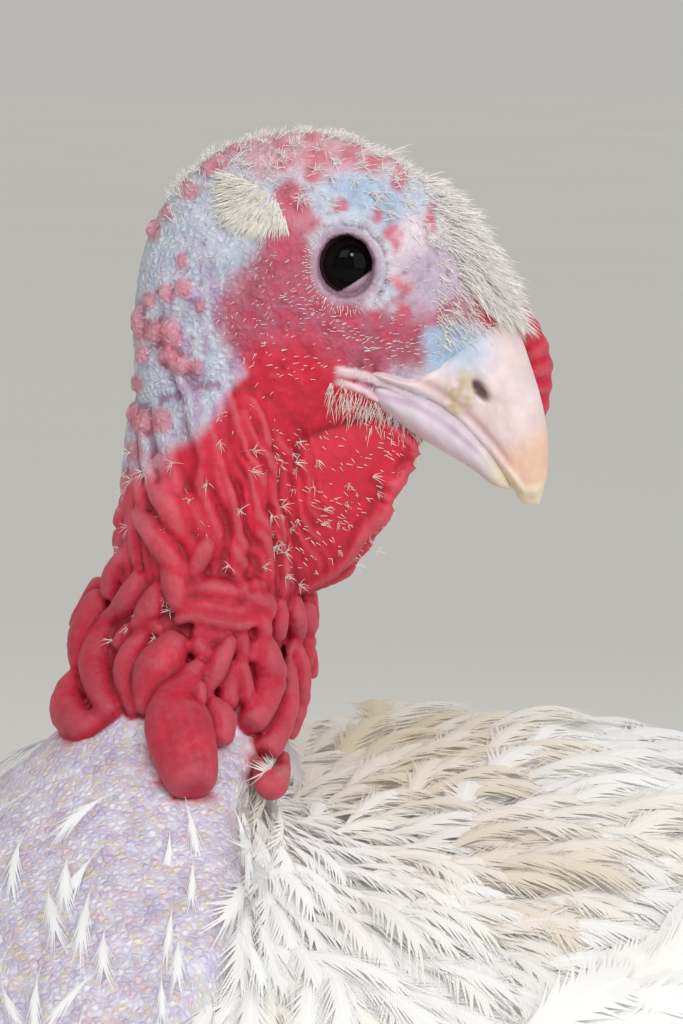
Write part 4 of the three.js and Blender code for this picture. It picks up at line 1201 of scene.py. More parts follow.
claw_finish, tree, shader = new_finish("claw_horn", Roughness=0.38, Subsurface_Weight=0.1,
                                       Subsurface_Scale=0.001)
strands = add_node(tree, "ShaderNodeTexNoise", Vector=in_place(tree), Scale=500.0, Detail=4.0).outputs["Fac"]
horn_tone = ramp(tree, strands, [(0.3, paint(178, 156, 132)), (0.7, paint(218, 204, 184))])
feed(tree, shader.inputs["Base Color"], horn_tone)
embossed(tree, shader, strands, 0.3, 0.0003)


def horn_tip(name, way, radii, flatten=1.0):
    points, faces = tube(way, radii, sides=20, rings=30, flatten=flatten)
    piece = mesh_piece(name, to_metres(points), faces)
    piece.data.materials.append(claw_finish)
    return piece



for side, name in ((1, "left"), (-1, "right")):
    shank_way = [(side * 79, 50, 196), (side * 78, 64, 172), (side * 80, 50, 96), (side * 82, 30, 20)]
    toes = {toe: toe_way(side, toe) for toe in TOES}
    shells = [tube(shank_way, [9.4, 13.6, 9.8, 11.6], sides=28, rings=60),
              tube([(side * 82, 36, 12), (side * 82, 30, 10.5), (side * 82, 22, 9.5), (side * 82, 14, 9)],
                   [12, 12.5, 12.5, 11],
                   sides=24, rings=20, flatten=0.85)]
    for toe, (way, sizes) in toes.items():
        shells.append(tube(way, sizes - 0.5, sides=22, rings=44, flatten=0.86))
        heading, length, radius = TOES[toe]
        for share in (0.30, 0.62, 0.9):
            pad, size = toe_way(side, toe, (share,))
            shells.append(ball(pad[0] - [0, 0, size[0] * 0.22], size[0] * 0.86, (1, 1, 0.6), sides=16,
                               rings=10))
    leg = remeshed("leg_clay", joined(shells), 1.1, 2)
    p = corners_of(leg)
    normals = outward(leg)
    colour = np.tile(SHANK_PINK, (len(p), 1))
    along, off = nearest_on(p, shank_way)
    front = smooth_step(-(normals[:, 1]), 0.15, 0.5) * (p[:, 2] > 26) * (p[:, 2] < 178)
    plate = np.abs(np.mod(along / 6.4 + 0.25 * np.sign(normals[:, 0] + 0.2) * (normals[:, 1] > -0.93), 1)
                   - 0.5) * 2
    lift = front * (0.75 * (1 - smooth_step(plate, 0.72, 1.0)) - 0.35)
    shade_of = front * smooth_step(plate, 0.8, 1.0)
    on_toe = np.full(len(p), 1e9)
    for toe, (way, sizes) in toes.items():
        along, off = nearest_on(p, way)
        closer = (off < on_toe) & (p[:, 2] < 26)
        on_toe = np.where(closer, off, on_toe)
        plate = np.abs(np.mod(along / 5.0, 1) - 0.5) * 2
        top = smooth_step(normals[:, 2], 0.05, 0.4) * closer * (along > 8)
        lift = np.where(closer, top * (0.7 * (1 - smooth_step(plate, 0.7, 1.0)) - 0.3), lift)
        shade_of = np.where(closer, top * smooth_step(plate, 0.78, 1.0), shade_of)
    colour = lay_over(colour, SHANK_GREY, 0.8 * shade_of + 0.5 * (normals[:, 2] < -0.5) * (p[:, 2] < 20))
    colour = lay_over(colour, paint(214, 168, 160), 0.6 * smooth_step(ripple(p, 16.0, 3.0), -0.1, 0.5))
    p += normals * (lift + 0.15 * ripple(p, 3.0, 1.0))[:, None]
    p[:, 2] = np.maximum(p[:, 2], 0.0)
    move_corners(leg, to_metres(p))
    shank = bpy.data.objects.new("leg_" + name, leg)
    bpy.context.scene.collection.objects.link(shank)
    leg.materials.clear()
    leg.materials.append(leg_finish)
    leg.polygons.foreach_set("use_smooth", np.full(len(leg.polygons), True))
    colour_layer(leg, "tint", colour)
    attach(shank, "root")
    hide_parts("shank_" + name, "foot_" + name)
    for toe, (heading, length, radius) in TOES.items():
        turn, tip = math.radians(heading), radius * 0.8 * 0.8
        way = [[side * (82 + d * math.sin(turn)), 30 - d * math.cos(turn), z]
               for d, z in ((length - 6, tip), (length, tip + 1.0), (length + 8.5, tip * 0.8),
                            (length + 15, 3.4), (length + 18.5, 0.9))]
        claw = horn_tip(f"nail_{name}_{toe}", way, [3.6, 4.2, 3.4, 2.2, 0.8], 0.85)
        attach(claw, "root")
        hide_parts(f"claw_{name}_{toe}")
    spike = [(side * 77, 46, 82), (side * 75.6, 53, 82.2), (side * 73, 60, 83), (side * 71, 70, 87)]
    spur = horn_tip("spur_horn_" + name, spike, [5.2, 5.4, 4.4, 0.9])
    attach(spur, "root")
    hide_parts("spur_" + name)
print("each leg:", len(leg.polygons), "faces")

# %% [markdown]
# A feather is a shaft with barbs that lean towards its tip. A soft body feather is a narrow closed vane
# with loose barbs along both edges; a flight feather is closed to its edge, which is only nicked. One
# template of each kind is bent, stretched and shuffled for a whole batch at once with array arithmetic, so
# thousands are made in a moment.
# %% Feather templates
BAKE_PATCH = 0.003


def vane_template(clumps, inner, lean):
    """Stations, sides, barb numbers and base stations of the corners of one feather, and its triangles.

    The vane is closed from the shaft out to the side called inner; beyond it each clump of barbs ends in
    its own point.
    """
    station, side, number, base, faces = list(np.arange(clumps + 1) / clumps), [0.0] * (clumps
            + 1), [], [], []
    number += [-1] * (clumps + 1)
    base += station
    for s, sign in enumerate((-1.0, 1.0)):
        rim = len(station)
        for k in range(clumps + 1):
            station.append(k / clumps + lean * inner)
            side.append(sign * inner)
            number.append(-1)
            base.append(k / clumps)
        for k in range(clumps):
            station.append((k + 0.6) / clumps + lean)
            side.append(sign)
            number.append(s * clumps + k)
            base.append((k + 0.5) / clumps)
            tris = [(k, k + 1, rim + k + 1), (k, rim + k + 1, rim + k),
                    (rim + k, rim + k + 1, len(station) - 1)]
            faces += tris if sign > 0 else [t[::-1] for t in tris]
    return np.array(station), np.array(side), np.array(number), np.array(base), np.array(faces)


def round_vane(s):
    return np.power(np.clip(np.sin(math.pi * (0.08 + 0.84 * np.clip(s, 0, 1))), 0, 1), 0.5)


def late_vane(s):
    """A vane that starts only after a stretch of bare quill."""
    s = np.clip(s, 0, 1)
    return 0.07 + 0.93 * smooth_step(s, 0.25, 0.6) * np.power(np.clip(1.08 - s, 0.05, 1), 0.35)


def long_vane(s):
    s = np.clip(s, 0, 1)
    return (0.35 + 0.65 * smooth_step(s, 0.0, 0.18)) * np.power(np.clip(1 - s**7, 0.03, 1), 0.5)


SOFT, DOWNY = vane_template(20, 0.42, 0.36), vane_template(18, 0.28, 0.42)
BROAD, FLIGHT = vane_template(14, 0.86, 0.08), vane_template(20, 0.93, 0.05)


def shaken_template(template, count, ragged, rng):
    """Stations and sides with each barb a little longer or shorter, for that many feathers."""
    station, side, number, base, faces = template
    loose = rng.normal(1, ragged, (count, number.max() + 2))
    loose[:, -1] = 1.0
    v = side[None, :] * np.clip(loose[:, number], 0.5, 1.35)
    s = station[None, :] + np.where(number[None, :] >= 0, rng.normal(0, 0.012, (count, len(side))), 0)
    return s, v


def feather_batch(roots, along, out, length, width, *, template=SOFT, rise=0.30, sag=0.26, arch=0.5,
                  ragged=0.16,
                  twist=0.25, fluff=0.05, profile=round_vane, seed=1):
    """Corners, triangles, stations and sides of many feathers, one row of corners for each."""
    rng = np.random.default_rng(seed)
    count = len(roots)
    s, v = shaken_template(template, count, ragged, rng)
    turn = rng.normal(0, twist, count)
    along, out = unit(along), unit(out - along * (out * along).sum(-1, keepdims=True))
    aside = np.cross(out, along)
    along = unit(along * np.cos(turn)[:, None] + aside * np.sin(turn)[:, None])
    aside = np.cross(out, along)
    across = width[:, None] * profile(template[3])[None, :] * v
    bend = rng.normal(0, 0.06, count)[:, None] * length[:, None] * s**2
    rise_each = rise * rng.uniform(0.75, 1.3, count)[:, None]
    tall = length[:, None] * (rise_each * s - sag * s**2) - arch * 0.3 * np.abs(across)
    tall += np.where(np.abs(template[1])[None, :] > 0.9, rng.normal(0, fluff, s.shape), 0) * width[:, None]
    points = roots[:, None, :] + along[:, None, :] * (length[:, None] * s)[..., None] \
        + aside[:, None, :] * (across + bend)[..., None] + out[:, None, :] * tall[..., None]
    return {"points": points, "faces": template[4], "s": s, "v": v}


def uv_layer(mesh, name, uv):
    layer = mesh.uv_layers.new(name=name)
    index = np.empty(len(mesh.loops), np.int32)
    mesh.loops.foreach_get("vertex_index", index)
    layer.data.foreach_set("uv", np.asarray(uv, np.float32)[index].ravel())


def feather_piece(name, parts, finish):
    """One object from parts, each a batch of feathers, their places on the skin's unwrap and their tints."""
    points, faces, vane, bake, colours, first = [], [], [], [], [], 0
    for batch, place, tint_rows in parts:
        count, corners = batch["s"].shape
        points.append(batch["points"].reshape(-1, 3))
        starts = first + np.arange(count)[:, None, None] * corners
        faces.append((batch["faces"][None] + starts).reshape(-1, 3))
        own = np.stack([np.clip(batch["s"], 0, 1.2) / 1.2, np.clip(batch["v"], -1.4, 1.4) / 2.8 + 0.5], -1)
        vane.append(np.stack([batch["s"], batch["v"] * 0.5 + 0.5], -1).reshape(-1, 2))
        bake.append((np.clip(place, 0, 1)[:, None, :] * 0.99 + 0.003 + own * BAKE_PATCH).reshape(-1, 2))
        colours.append(np.repeat(tint_rows, corners, axis=0))
        first += count * corners
    obj = mesh_piece(name, to_metres(np.vstack(points)), np.vstack(faces))
    uv_layer(obj.data, "OFBake", np.vstack(bake))
    uv_layer(obj.data, "Vane", np.vstack(vane))
    colour_layer(obj.data, "tint", np.vstack(colours))
    obj.data.materials.append(finish)
    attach(obj, "root")
    print(name, sum(len(b["s"]) for b, _, _ in parts), "feathers,", len(obj.data.polygons), "triangles")
    return obj


# %% [markdown]
# White feathers are not flat white: the barbs make fine stripes that catch the light, painted shade darkens
# the colour between them, and the shaft is a thin brighter line. Both come from a map of station and side
# along each vane. A faint glow is painted light that stands for light shining through the thin vanes. The
# tint of each feather is stored with it, so that soiled feathers by the neck are cream and the rest are
# white.
# %% Feather finish
barbs, barbs_in, barbs_out = new_group(
    "Barb lines", [("Barbs along", "NodeSocketFloat", 60.0)],
    [("Stripe", "NodeSocketFloat"), ("Shaft", "NodeSocketFloat"), ("Tone", "NodeSocketFloat")])
BARB_LEAN, SHAFT_CORE, SHAFT_EDGE = -0.32, 0.015, 0.04  # shares of the vane's width
split = add_node(barbs, "ShaderNodeSeparateXYZ", add_node(barbs, "ShaderNodeUVMap", uv_map="Vane").outputs[0])
distance = worked_out(barbs, "ABSOLUTE", worked_out(barbs, "SUBTRACT", split.outputs["Y"], 0.5))
leaning = worked_out(barbs, "MULTIPLY_ADD", distance, BARB_LEAN, split.outputs["X"])
phase = worked_out(barbs, "MULTIPLY", leaning, barbs_in.outputs["Barbs along"])
stripe = worked_out(barbs, "MULTIPLY", worked_out(barbs, "PINGPONG", phase, 0.5), 2.0)
shaft = mapped(barbs, distance, 1.0, 0.0, (SHAFT_CORE, SHAFT_EDGE))
tone = add_node(barbs, "ShaderNodeTexNoise", Vector=in_place(barbs), Scale=45.0, Detail=3.0).outputs["Fac"]
for label, source in (("Stripe", stripe), ("Shaft", shaft), ("Tone", tone)):
    feed(barbs, barbs_out.inputs[label], source)


def feather_finish(name, barbs_along, strength):
    # The emission is painted light: a faint glow that stands for light shining through the feathers.
    material, tree, shader = new_finish(name, Roughness=0.7, Specular_IOR_Level=0.2, Sheen_Weight=0.1,
                                        Emission_Strength=0.075)
    shader.inputs["Emission Color"].default_value = (1.0, 0.98, 0.94, 1)
    lines = place_group(tree, barbs, Barbs_along=barbs_along)
    # Painted shade between the barbs: the colour is darker along fine stripes.
    dim = mapped(tree, lines.outputs["Stripe"], 1 - strength, 1.0)
    patchy = mapped(tree, lines.outputs["Tone"], 0.95, 1.03, (0.3, 0.7))
    quill = mapped(tree, lines.outputs["Shaft"], 1.0, 1.07)
    all_three = worked_out(tree, "MULTIPLY", worked_out(tree, "MULTIPLY", dim, patchy), quill)
    coloured(tree, shader, stored(tree, "tint", "Color"), all_three)
    embossed(tree, shader, lines.outputs["Stripe"], 0.25, 0.0003)
    return material


soft_feather = feather_finish("body_feather", 46.0, 0.17)
flight_feather = feather_finish("flight_feather", 110.0, 0.08)
print("feather finishes:", soft_feather.name, flight_feather.name)

# %% [markdown]
# Feathers grow at even distances but never in a grid. Places are drawn at random on the skin and kept only
# if no nearer neighbour was kept before, with a spacing that depends on the region. The lie follows the
# body's sections from the neck to the tail, and the root sinks to the skin while the tip reaches the
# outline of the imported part.
# %% Laying feathers on a surface
def surface_frame(place, t, angle, inside):
    """Point, direction of lie and outward direction of a surface at stations t and angles."""
    step = 0.004
    at = place(t, angle)
    along = unit(place(np.minimum(t + step, 0.999), angle) - place(np.maximum(t - step, 0.001), angle))
    around = unit(place(t, angle + 0.03) - place(t, angle - 0.03))
    out = unit(np.cross(around, along))
    return at, along, out * np.sign(((at - inside(t)) * out).sum(-1, keepdims=True))


def scatter(place, t_range, angle_range, spacing, seed, tries=8.0, cells=(160, 120)):
    """Stations and angles of evenly spaced places. spacing(t, angle) is in millimetres, 0 for none."""
    rng = np.random.default_rng(seed)
    t, angle = np.meshgrid(np.linspace(*t_range, cells[0]), np.linspace(*angle_range, cells[1]),
                           indexing="ij")
    grid = place(t, angle)
    area = np.linalg.norm(np.cross(grid[1:, :-1] - grid[:-1, :-1], grid[:-1, 1:] - grid[:-1, :-1]), axis=-1)
    wanted = spacing(t[:-1, :-1], angle[:-1, :-1])
    share = np.where(wanted > 0, area / np.maximum(wanted, 0.1) ** 2, 0.0)
    count = int(share.sum() * tries)
    pick = rng.choice(share.size, count, p=(share / share.sum()).ravel())
    i, j = np.unravel_index(pick, share.shape)
    ts = t[i, j] + rng.random(count) * (t_range[1] - t_range[0]) / (cells[0] - 1)
    angles = angle[i, j] + rng.random(count) * (angle_range[1] - angle_range[0]) / (cells[1] - 1)
    points, gaps = place(ts, angles), spacing(ts, angles)
    size = float(gaps.max())
    kept, bins = [], {}
    around = [(dx, dy, dz) for dx in (-1, 0, 1) for dy in (-1, 0, 1) for dz in (-1, 0, 1)]
    keys = np.floor(points / size).astype(int).tolist()
    for n, (p, key, gap) in enumerate(zip(points.tolist(), keys, gaps.tolist())):
        if gap > 0 and not any((p[0] - q[0]) ** 2 + (p[1] - q[1]) ** 2 + (p[2] - q[2]) ** 2 < gap * gap
                               for d in around
                               for q in bins.get((key[0] + d[0], key[1] + d[1], key[2] + d[2]), ())):
            bins.setdefault(tuple(key), []).append(p)
            kept.append(n)
    return ts[kept], angles[kept]


WHITE, CREAM, STAIN = paint(243, 244, 246), paint(238, 232, 218), paint(212, 192, 150)


def as_seen(points):
    """Where the camera sees points, on the head's middle plane."""
    ray = points - LOOKING_FROM
    share = ((HEAD_ORIGIN - LOOKING_FROM) @ HEAD_LEFT) / (ray @ HEAD_LEFT)
    return to_head(LOOKING_FROM + ray * share[:, None])


def plumage_tint(points, seed):
    """White, with cream feathers here and there and soiled ones on the back just behind the neck."""
    rng = np.random.default_rng(seed)
    colour = np.tile(WHITE, (len(points), 1)) * rng.normal(0.97, 0.02, (len(points), 1))
    h = as_seen(points)
    x, z = h[:, 0] + 8 * ripple(points, 22, 2), h[:, 2] + 6 * ripple(points, 22, 5)
    soiled = np.maximum(spot(x, z, 5, -139, 26, 15, 0, 0.6), 0.8 * spot(x, z, 32, -172, 15, 16, 0, 0.6))
    colour = lay_over(colour, CREAM, 0.15 + 0.6 * smooth_step(ripple(points, 30.0, 7.0), 0, 0.5)
                      * (points[:, 2] > 400))
    return np.clip(lay_over(colour, STAIN, soiled * rng.uniform(0.25, 0.85, len(points))), 0, 0.93)


def trunk_centre(t):
    return (body_at(t, np.zeros_like(t)) + body_at(t, np.full_like(t, math.pi))) / 2


def body_feathers(seed, t_range, spacing, length, width, angle_range=(0, 2 * math.pi), **shape):
    t, angle = scatter(trunk_place, t_range, angle_range, spacing, seed)
    at, along, out = surface_frame(trunk_place, t, angle, trunk_centre)
    rng = np.random.default_rng(seed + 50)
    long = length(t, angle) * rng.uniform(0.82, 1.15, len(t))
    wide = width(t, angle) * rng.uniform(0.85, 1.15, len(t))
    batch = feather_batch(at, along, out, long, wide, seed=seed + 99, **shape)
    return batch, np.stack([angle / (2 * math.pi) % 1.0, t], -1), plumage_tint(at, seed + 7)


def under_wing(t, angle):
    """1 where the folded wing covers the flank."""
    off = np.abs((np.degrees(angle) + 180) % 360 - 180)
    s = (t - WING["from"]) / (WING["to"] - WING["from"])
    reach = WING["half"] * (1 - 0.72 * smooth_step(s, 0.3, 1.0)) * np.sqrt(np.clip(s / 0.22, 0, 1))
    return (np.abs(off - 81) < reach - 20) & (s > 0.1) & (s < 0.97)


neck_spacing = lambda t, a: np.where((bare(t, a) < 0.6) & (t * ROWS < 8.7),
                                     3.6 + 1.4 * smooth_step(t * ROWS, 5, 8), 0.0)
feather_piece("feathers_ruff", [body_feathers(
    1, (4.4 / ROWS, 8.8 / ROWS), neck_spacing, lambda t, a: 25 + 8 * smooth_step(t * ROWS, 5, 8),
    lambda t, a: 5.4 + 2.2 * smooth_step(t * ROWS, 5.5, 8), template=DOWNY, rise=0.50, sag=0.42, ragged=0.2,
    twist=0.4,
    fluff=0.12)], soft_feather)
for name, span, seed in (("left", (0, math.pi), 2), ("right", (math.pi, 2 * math.pi), 3)):
    feather_piece("feathers_body_" + name, [body_feathers(
        seed, (8.3 / ROWS, 0.985), lambda t,
        a: np.where(under_wing(t, a), 0.0, 7.4 + 1.6 * smooth_step(t * ROWS, 9, 13)),
        lambda t, a: 40 + 14 * smooth_step(t * ROWS, 9, 14), lambda t, a: 9.5 + 2.5 * smooth_step(t * ROWS, 9,
                13), span,
        template=SOFT, rise=0.34, sag=0.34, ragged=0.16, twist=0.34, fluff=0.05)], soft_feather)

# %% [markdown]
# The folded wing shows small coverts on the shoulder, a row of larger ones, then long smooth secondaries
# and the tips of the primaries. The long ones would stick out if they were straight, so they are laid on
# the body's own sections, each a little over the next, which is how a folded wing hugs the flank.
# %% Wing feathers
WING_LIFT = 13.0


def wing_feathers(side, seed, roots, template=FLIGHT, ragged=0.03):
    """Long feathers on the flank. Each row: station, turn in degrees, length, half width, drift, lift."""
    rng = np.random.default_rng(seed)
    t0, turn0, length, width, drift, lift = (c[:, None] for c in np.array(roots, float).T)
    s, v = shaken_template(template, len(roots), ragged, rng)
    across = width * long_vane(template[3])[None, :] * v
    t = np.clip(t0 + length * s / 500.0, 0, 0.995)
    radius = spline(np.array(BODY)[:, 4], t)[..., 0] * 0.55 + 70
    turn = np.radians(turn0 + drift * s) + across / radius
    high = lift - 0.012 * across**2 - 3.5 * s - 1.2 * v * (v > 0)
    points = body_at(t, turn, high) * np.array([side, 1.0, 1.0])
    place = np.stack([np.radians(turn0[:, 0]) / (2 * math.pi) if side > 0 else 1
                      - np.radians(turn0[:, 0]) / (2 * math.pi),
                      t0[:, 0]], -1)
    faces = template[4] if side > 0 else template[4][:, ::-1]
    return {"points": points, "faces": faces, "s": s, "v": v}, place, plumage_tint(points[:, 0], seed)


def wing_coverts(side, seed, span, gap, length, width, lift=WING_LIFT - 7, **shape):
    place = wing_place(side, lift)
    t, angle = scatter(place, span, (0.05, math.pi - 0.05), lambda t, a: np.full_like(t, gap), seed,
                       cells=(60, 50))
    at, along, out = surface_frame(place, t, angle, lambda t: np.stack([0 * t, place(t, 0 * t + 1.5)[..., 1],
            0 * t + 400], -1))
    rng = np.random.default_rng(seed)
    body_t = WING["from"] + (WING["to"] - WING["from"]) * t
    turned = np.radians(81 + WING["half"] * np.cos(angle)) / (2 * math.pi)
    batch = feather_batch(at, along, out, length * rng.uniform(0.88, 1.12, len(t)),
                          width * rng.uniform(0.9, 1.1, len(t)),
                          seed=seed, **shape)
    return batch, np.stack([turned if side > 0 else 1 - turned, body_t], -1), plumage_tint(at, seed)


for side, name, seed in ((1, "left", 20), (-1, "right", 30)):
    primaries = [(0.66 + 0.004 * k, 100 - 2.6 * k, 150 + 3 * k, 15, -16 + 2.2 * k, WING_LIFT - 4 + 0.5 * k)
                 for k in range(6)]
    secondaries = [(0.585 + 0.006 * k, 118 - 5.6 * k, 168 - 4 * k, 19, -15 + 2.4 * k,
                    WING_LIFT + 0.5 * k - 1.5 * max(k - 6, 0)) for k in range(13)]
    greater = [(0.56 + 0.005 * k, 119 - 5.8 * k, 84, 17, -6 + 1.0 * k, WING_LIFT + 3 + 0.4 * k - 1.4
                * max(k - 7, 0)) for k in range(14)]
    feather_piece("feathers_wing_" + name, [
        wing_feathers(side, seed, primaries), wing_feathers(side, seed + 1, secondaries),
        wing_feathers(side, seed + 2, greater),
        wing_coverts(side, seed + 3, (0.22, 0.36), 14.0, 62, 17.0, template=BROAD, rise=0.20, sag=0.22,
                     arch=0.35, ragged=0.06,
                     twist=0.08, fluff=0.03),
        wing_coverts(side, seed + 4, (0.005, 0.24), 9.5, 44, 13.0, template=BROAD, rise=0.26, sag=0.24,
                     arch=0.4, ragged=0.08,
                     twist=0.10, fluff=0.04),
        wing_coverts(side, seed + 5, (0.0, 0.07), 6.5, 38, 10.0, lift=0.0, template=SOFT, rise=0.5, sag=0.4,
                     arch=0.4,
                     ragged=0.1, twist=0.15, fluff=0.04)], flight_feather)

# %% [markdown]
# The tail is held low and half closed: eighteen long quills side by side, each overlapping the next from
# the middle outwards, with soft coverts over and under their roots. The thighs carry short soft feathers
# down to the hock.
# %% Tail and thighs
TAIL_ROOT, TAIL_TIP = np.array([0.0, 262.0, 402.0]), np.array([0.0, 640.0, 262.0])


def tail_feathers(rows, seed, template=FLIGHT, ragged=0.03, faces_down=False):
    """Each row: across at root and tip, start and end along the tail, half width, height over the middle."""
    rng = np.random.default_rng(seed)
    root, tip, start, end, width, over = (c[:, None] for c in np.array(rows, float).T)
    s, v = shaken_template(template, len(rows), ragged, rng)
    along = start + (end - start) * s
    spread = root + (tip - root) * along + width * long_vane(template[3])[None, :] * v
    line = TAIL_ROOT + (TAIL_TIP - TAIL_ROOT) * along[..., None]
    upward = np.array([0.0, 0.347, 0.938])
    high = over * (1 - 0.55 * s) - 0.0016 * spread**2 - 0.9 * np.sign(root + 0.01) * v - 0.008 * (width
            * v) ** 2 \
        + 2.5 * np.sin(math.pi * np.clip(s, 0, 1))
    points = line + np.array([1.0, 0, 0]) * spread[..., None] + upward * high[..., None]
    place = np.stack([0.5 + root[:, 0] / 200 if faces_down else (root[:, 0] / 600) % 1.0,
                      0.9 + 0.08 * start[:, 0]], -1)
    return {"points": points, "faces": template[4][:, ::-1] if faces_down else template[4], "s": s,
            "v": v}, place, \
        plumage_tint(points[:, 0], seed)


grow = np.random.default_rng(40)
quills = [(-45 + 90 * k / 17, (-95 + 190 * k / 17) * 0.84, -0.02, 0.985 - 0.05 * abs(k - 8.5) / 8.5, 17.5,
           3.0 - 0.35 * abs(k - 8.5)) for k in range(18)]
coverts = [(x, x * 1.5, start, start + long, 13.0, over + 0.3 * grow.normal())
           for start, long, over, count in ((0.16, 0.30, 10, 9), (0.06, 0.28, 14, 10), (-0.04, 0.26, 18, 10),
                                            (-0.12, 0.24, 21, 9))
           for x in np.linspace(-44, 44, count)]
under = [(x, x * 1.4, start, start + long, 13.0, over + 0.3 * grow.normal())
         for start, long, over, count in ((0.14, 0.30, -11, 8), (0.03, 0.28, -16, 9), (-0.08, 0.26, -20, 9))
         for x in np.linspace(-42, 42, count)]
tail_piece = feather_piece("feathers_tail", [
    tail_feathers(quills, 41), tail_feathers(coverts, 42, BROAD, 0.08), tail_feathers(under, 43, BROAD, 0.08,
            True)],
    flight_feather)
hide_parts("tail")

for side, name, seed in ((1, "left", 60), (-1, "right", 61)):
    way = np.array([(side * 96, 0, 330), (side * 94, 14, 282), (side * 88, 36, 232),
                    (side * HOCK[0], HOCK[1] - 2, HOCK[2] + 2)])
    sizes = np.array([46.0, 54.0, 35.0, 13.0])

    def thigh_place(t, angle):
        axis = spline(way, t)
        tangent = unit(spline(way, np.minimum(t + 0.01, 1)) - spline(way, np.maximum(t - 0.01, 0)))
        aside = unit(np.cross(tangent, [0.13, 0.21, 1.0]))
        radius = spline(sizes, t)[..., 0][..., None]
        return axis + radius * (aside * np.cos(angle)[..., None] + np.cross(aside, tangent)
                                * np.sin(angle)[..., None])

    t, angle = scatter(thigh_place, (0.02, 0.97), (0, 2 * math.pi), lambda t, a: 7.6 - 2.6 * t, seed,
                       cells=(60, 60))
    at, along, out = surface_frame(thigh_place, t, angle, lambda t: spline(way, t))
    rng = np.random.default_rng(seed)
    batch = feather_batch(at, along, out, (42 - 14 * t) * rng.uniform(0.85, 1.15, len(t)), (10.5 - 3.5 * t),
                          template=SOFT,
                          rise=0.26, sag=0.24, ragged=0.14, twist=0.2, fluff=0.08, seed=seed)
    around = (0.25 if side > 0 else 0.75) + 0.06 * np.cos(angle)
    feather_piece("feathers_thigh_" + name,
                  [(batch, np.stack([around, 0.55 + 0.1 * t], -1), plumage_tint(at, seed))], soft_feather)

# %% [markdown]
# The bib at the base of the neck is almost bare. Only single narrow feathers stand on it, with a long naked
# quill and a short white vane, and they all point down the breast.
# %% Bib feathers
t, angle = scatter(trunk_place, (4.7 / ROWS, 8.2 / ROWS), (math.radians(60), math.radians(300)),
                   lambda t, a: np.where(bare(t, a) > 0.3, 10.5, 0.0), 70)
at, along, out = surface_frame(trunk_place, t, angle, trunk_centre)
rng = np.random.default_rng(71)
keep = rng.random(len(t)) < 0.85
batch = feather_batch(at[keep], along[keep], out[keep], rng.uniform(18, 29, keep.sum()),
                      rng.uniform(2.2, 4.2, keep.sum()),
                      template=DOWNY, rise=0.42, sag=0.30, arch=0.3, ragged=0.2, twist=0.3, fluff=0.1,
                      profile=late_vane, seed=72)
feather_piece("feathers_bib", [(batch, np.stack([angle[keep] / (2 * math.pi), t[keep]], -1),
                                np.tile(WHITE * 0.97, (keep.sum(), 1)))], soft_feather)

# %% [markdown]
# The bare head is not quite bare. Stiff white bristles stand in a thick brush on the forehead, in small
# stars between the beads of the crown and on the neck, in a flat fan over the ear opening, round the
# eyelids and under the gape. Each bristle is a thin three-sided spike with a bend, and its root is found by
# casting a ray at the clay of the head.
# %% Bristles of the head and neck
bristle_rng = np.random.default_rng(90)


THIRDS = (0.0, 2.094, 4.189)  # turns of the corners round a spike


def bristle_batch(roots, aim, length, radius, droop=0.15, fall=(0, 0, -1.0)):
    """Corners and triangles of many spikes, ten corners for each."""
    count = len(roots)
    aim, side = unit(aim), unit(np.cross(unit(aim), bristle_rng.normal(0, 1, (count, 3))))
    third = np.cross(aim, side)
    rings, points = [(0.0, 1.0), (0.4, 0.8), (0.75, 0.5)], []
    for share, thick in rings:
        centre = roots + aim * (length * share)[:, None] + np.array(fall) * (length * droop * share**2)[:,
                None]
        for turn in THIRDS:
            points.append(centre + (side * math.cos(turn) + third * math.sin(turn)) * (radius * thick)[:,
                    None])
    points.append(roots + aim * length[:, None] + np.array(fall) * (length * droop)[:, None])
    faces = []
    for a in (0, 3):
        for k in range(3):
            b = (k + 1) % 3
            faces += [(a + k, a + b, a + 3 + b), (a + k, a + 3 + b, a + 3 + k)]
    faces += [(6, 7, 9), (7, 8, 9), (8, 6, 9)]
    s = np.tile(np.repeat([0.0, 0.4, 0.75, 1.0], [3, 3, 3, 1]), (count, 1))
    return {"points": np.stack(points, 1), "faces": np.array(faces), "s": s,
            "v": np.tile([0, .5, 1, 0, .5, 1, 0, .5, 1, .5], (count, 1))}


def unwrapped(points):
    """A place on the unwrap of the head and neck: the turn round the neck's axis and the height."""
    axis_y = neck_axis(points[:, 2])
    axis_y = np.where(points[:, 2] > 650, -36.0, axis_y)
    return np.stack([np.arctan2(points[:, 0], points[:, 1] - axis_y) / (2 * math.pi) % 1.0,
                     (points[:, 2] - 530) / 200], -1)


def strewn(xs, zs, count, side):
    """Roots and outward directions for count random places in a rectangle beside the head."""
    return rooted(bristle_rng.uniform(*xs, count), bristle_rng.uniform(*zs, count), side)


def rooted(xs, zs, side):
    """Roots and outward directions for places beside the head; places that miss the head are left out."""
    found = [on_side(x, z, side) for x, z in zip(xs, zs)]
    found = [f for f in found if f is not None]
    return (np.array([f[0] for f in found]), np.array([f[1] for f in found])) if found else (np.zeros((0, 3)),
            np.zeros((0, 3)))


def from_head_aim(x, y, z):
    return x * HEAD_AHEAD + y * HEAD_LEFT + z * UP


def tuft_place(t, angle):
    return from_head(head_at(SKULL, t, angle))


def on_skull(rows_range, angle_range, count, sink=0.3):
    """Roots, lie and outward directions scattered on the skull's own sections."""
    t = bristle_rng.uniform(*rows_range, count) / (len(SKULL) - 1)
    angle = bristle_rng.uniform(*angle_range, count)
    at, along, out = surface_frame(tuft_place, t, angle,
                                   lambda t: (tuft_place(t, 0 * t) + tuft_place(t, 0 * t + math.pi)) / 2)
    return at - out * sink, along, out


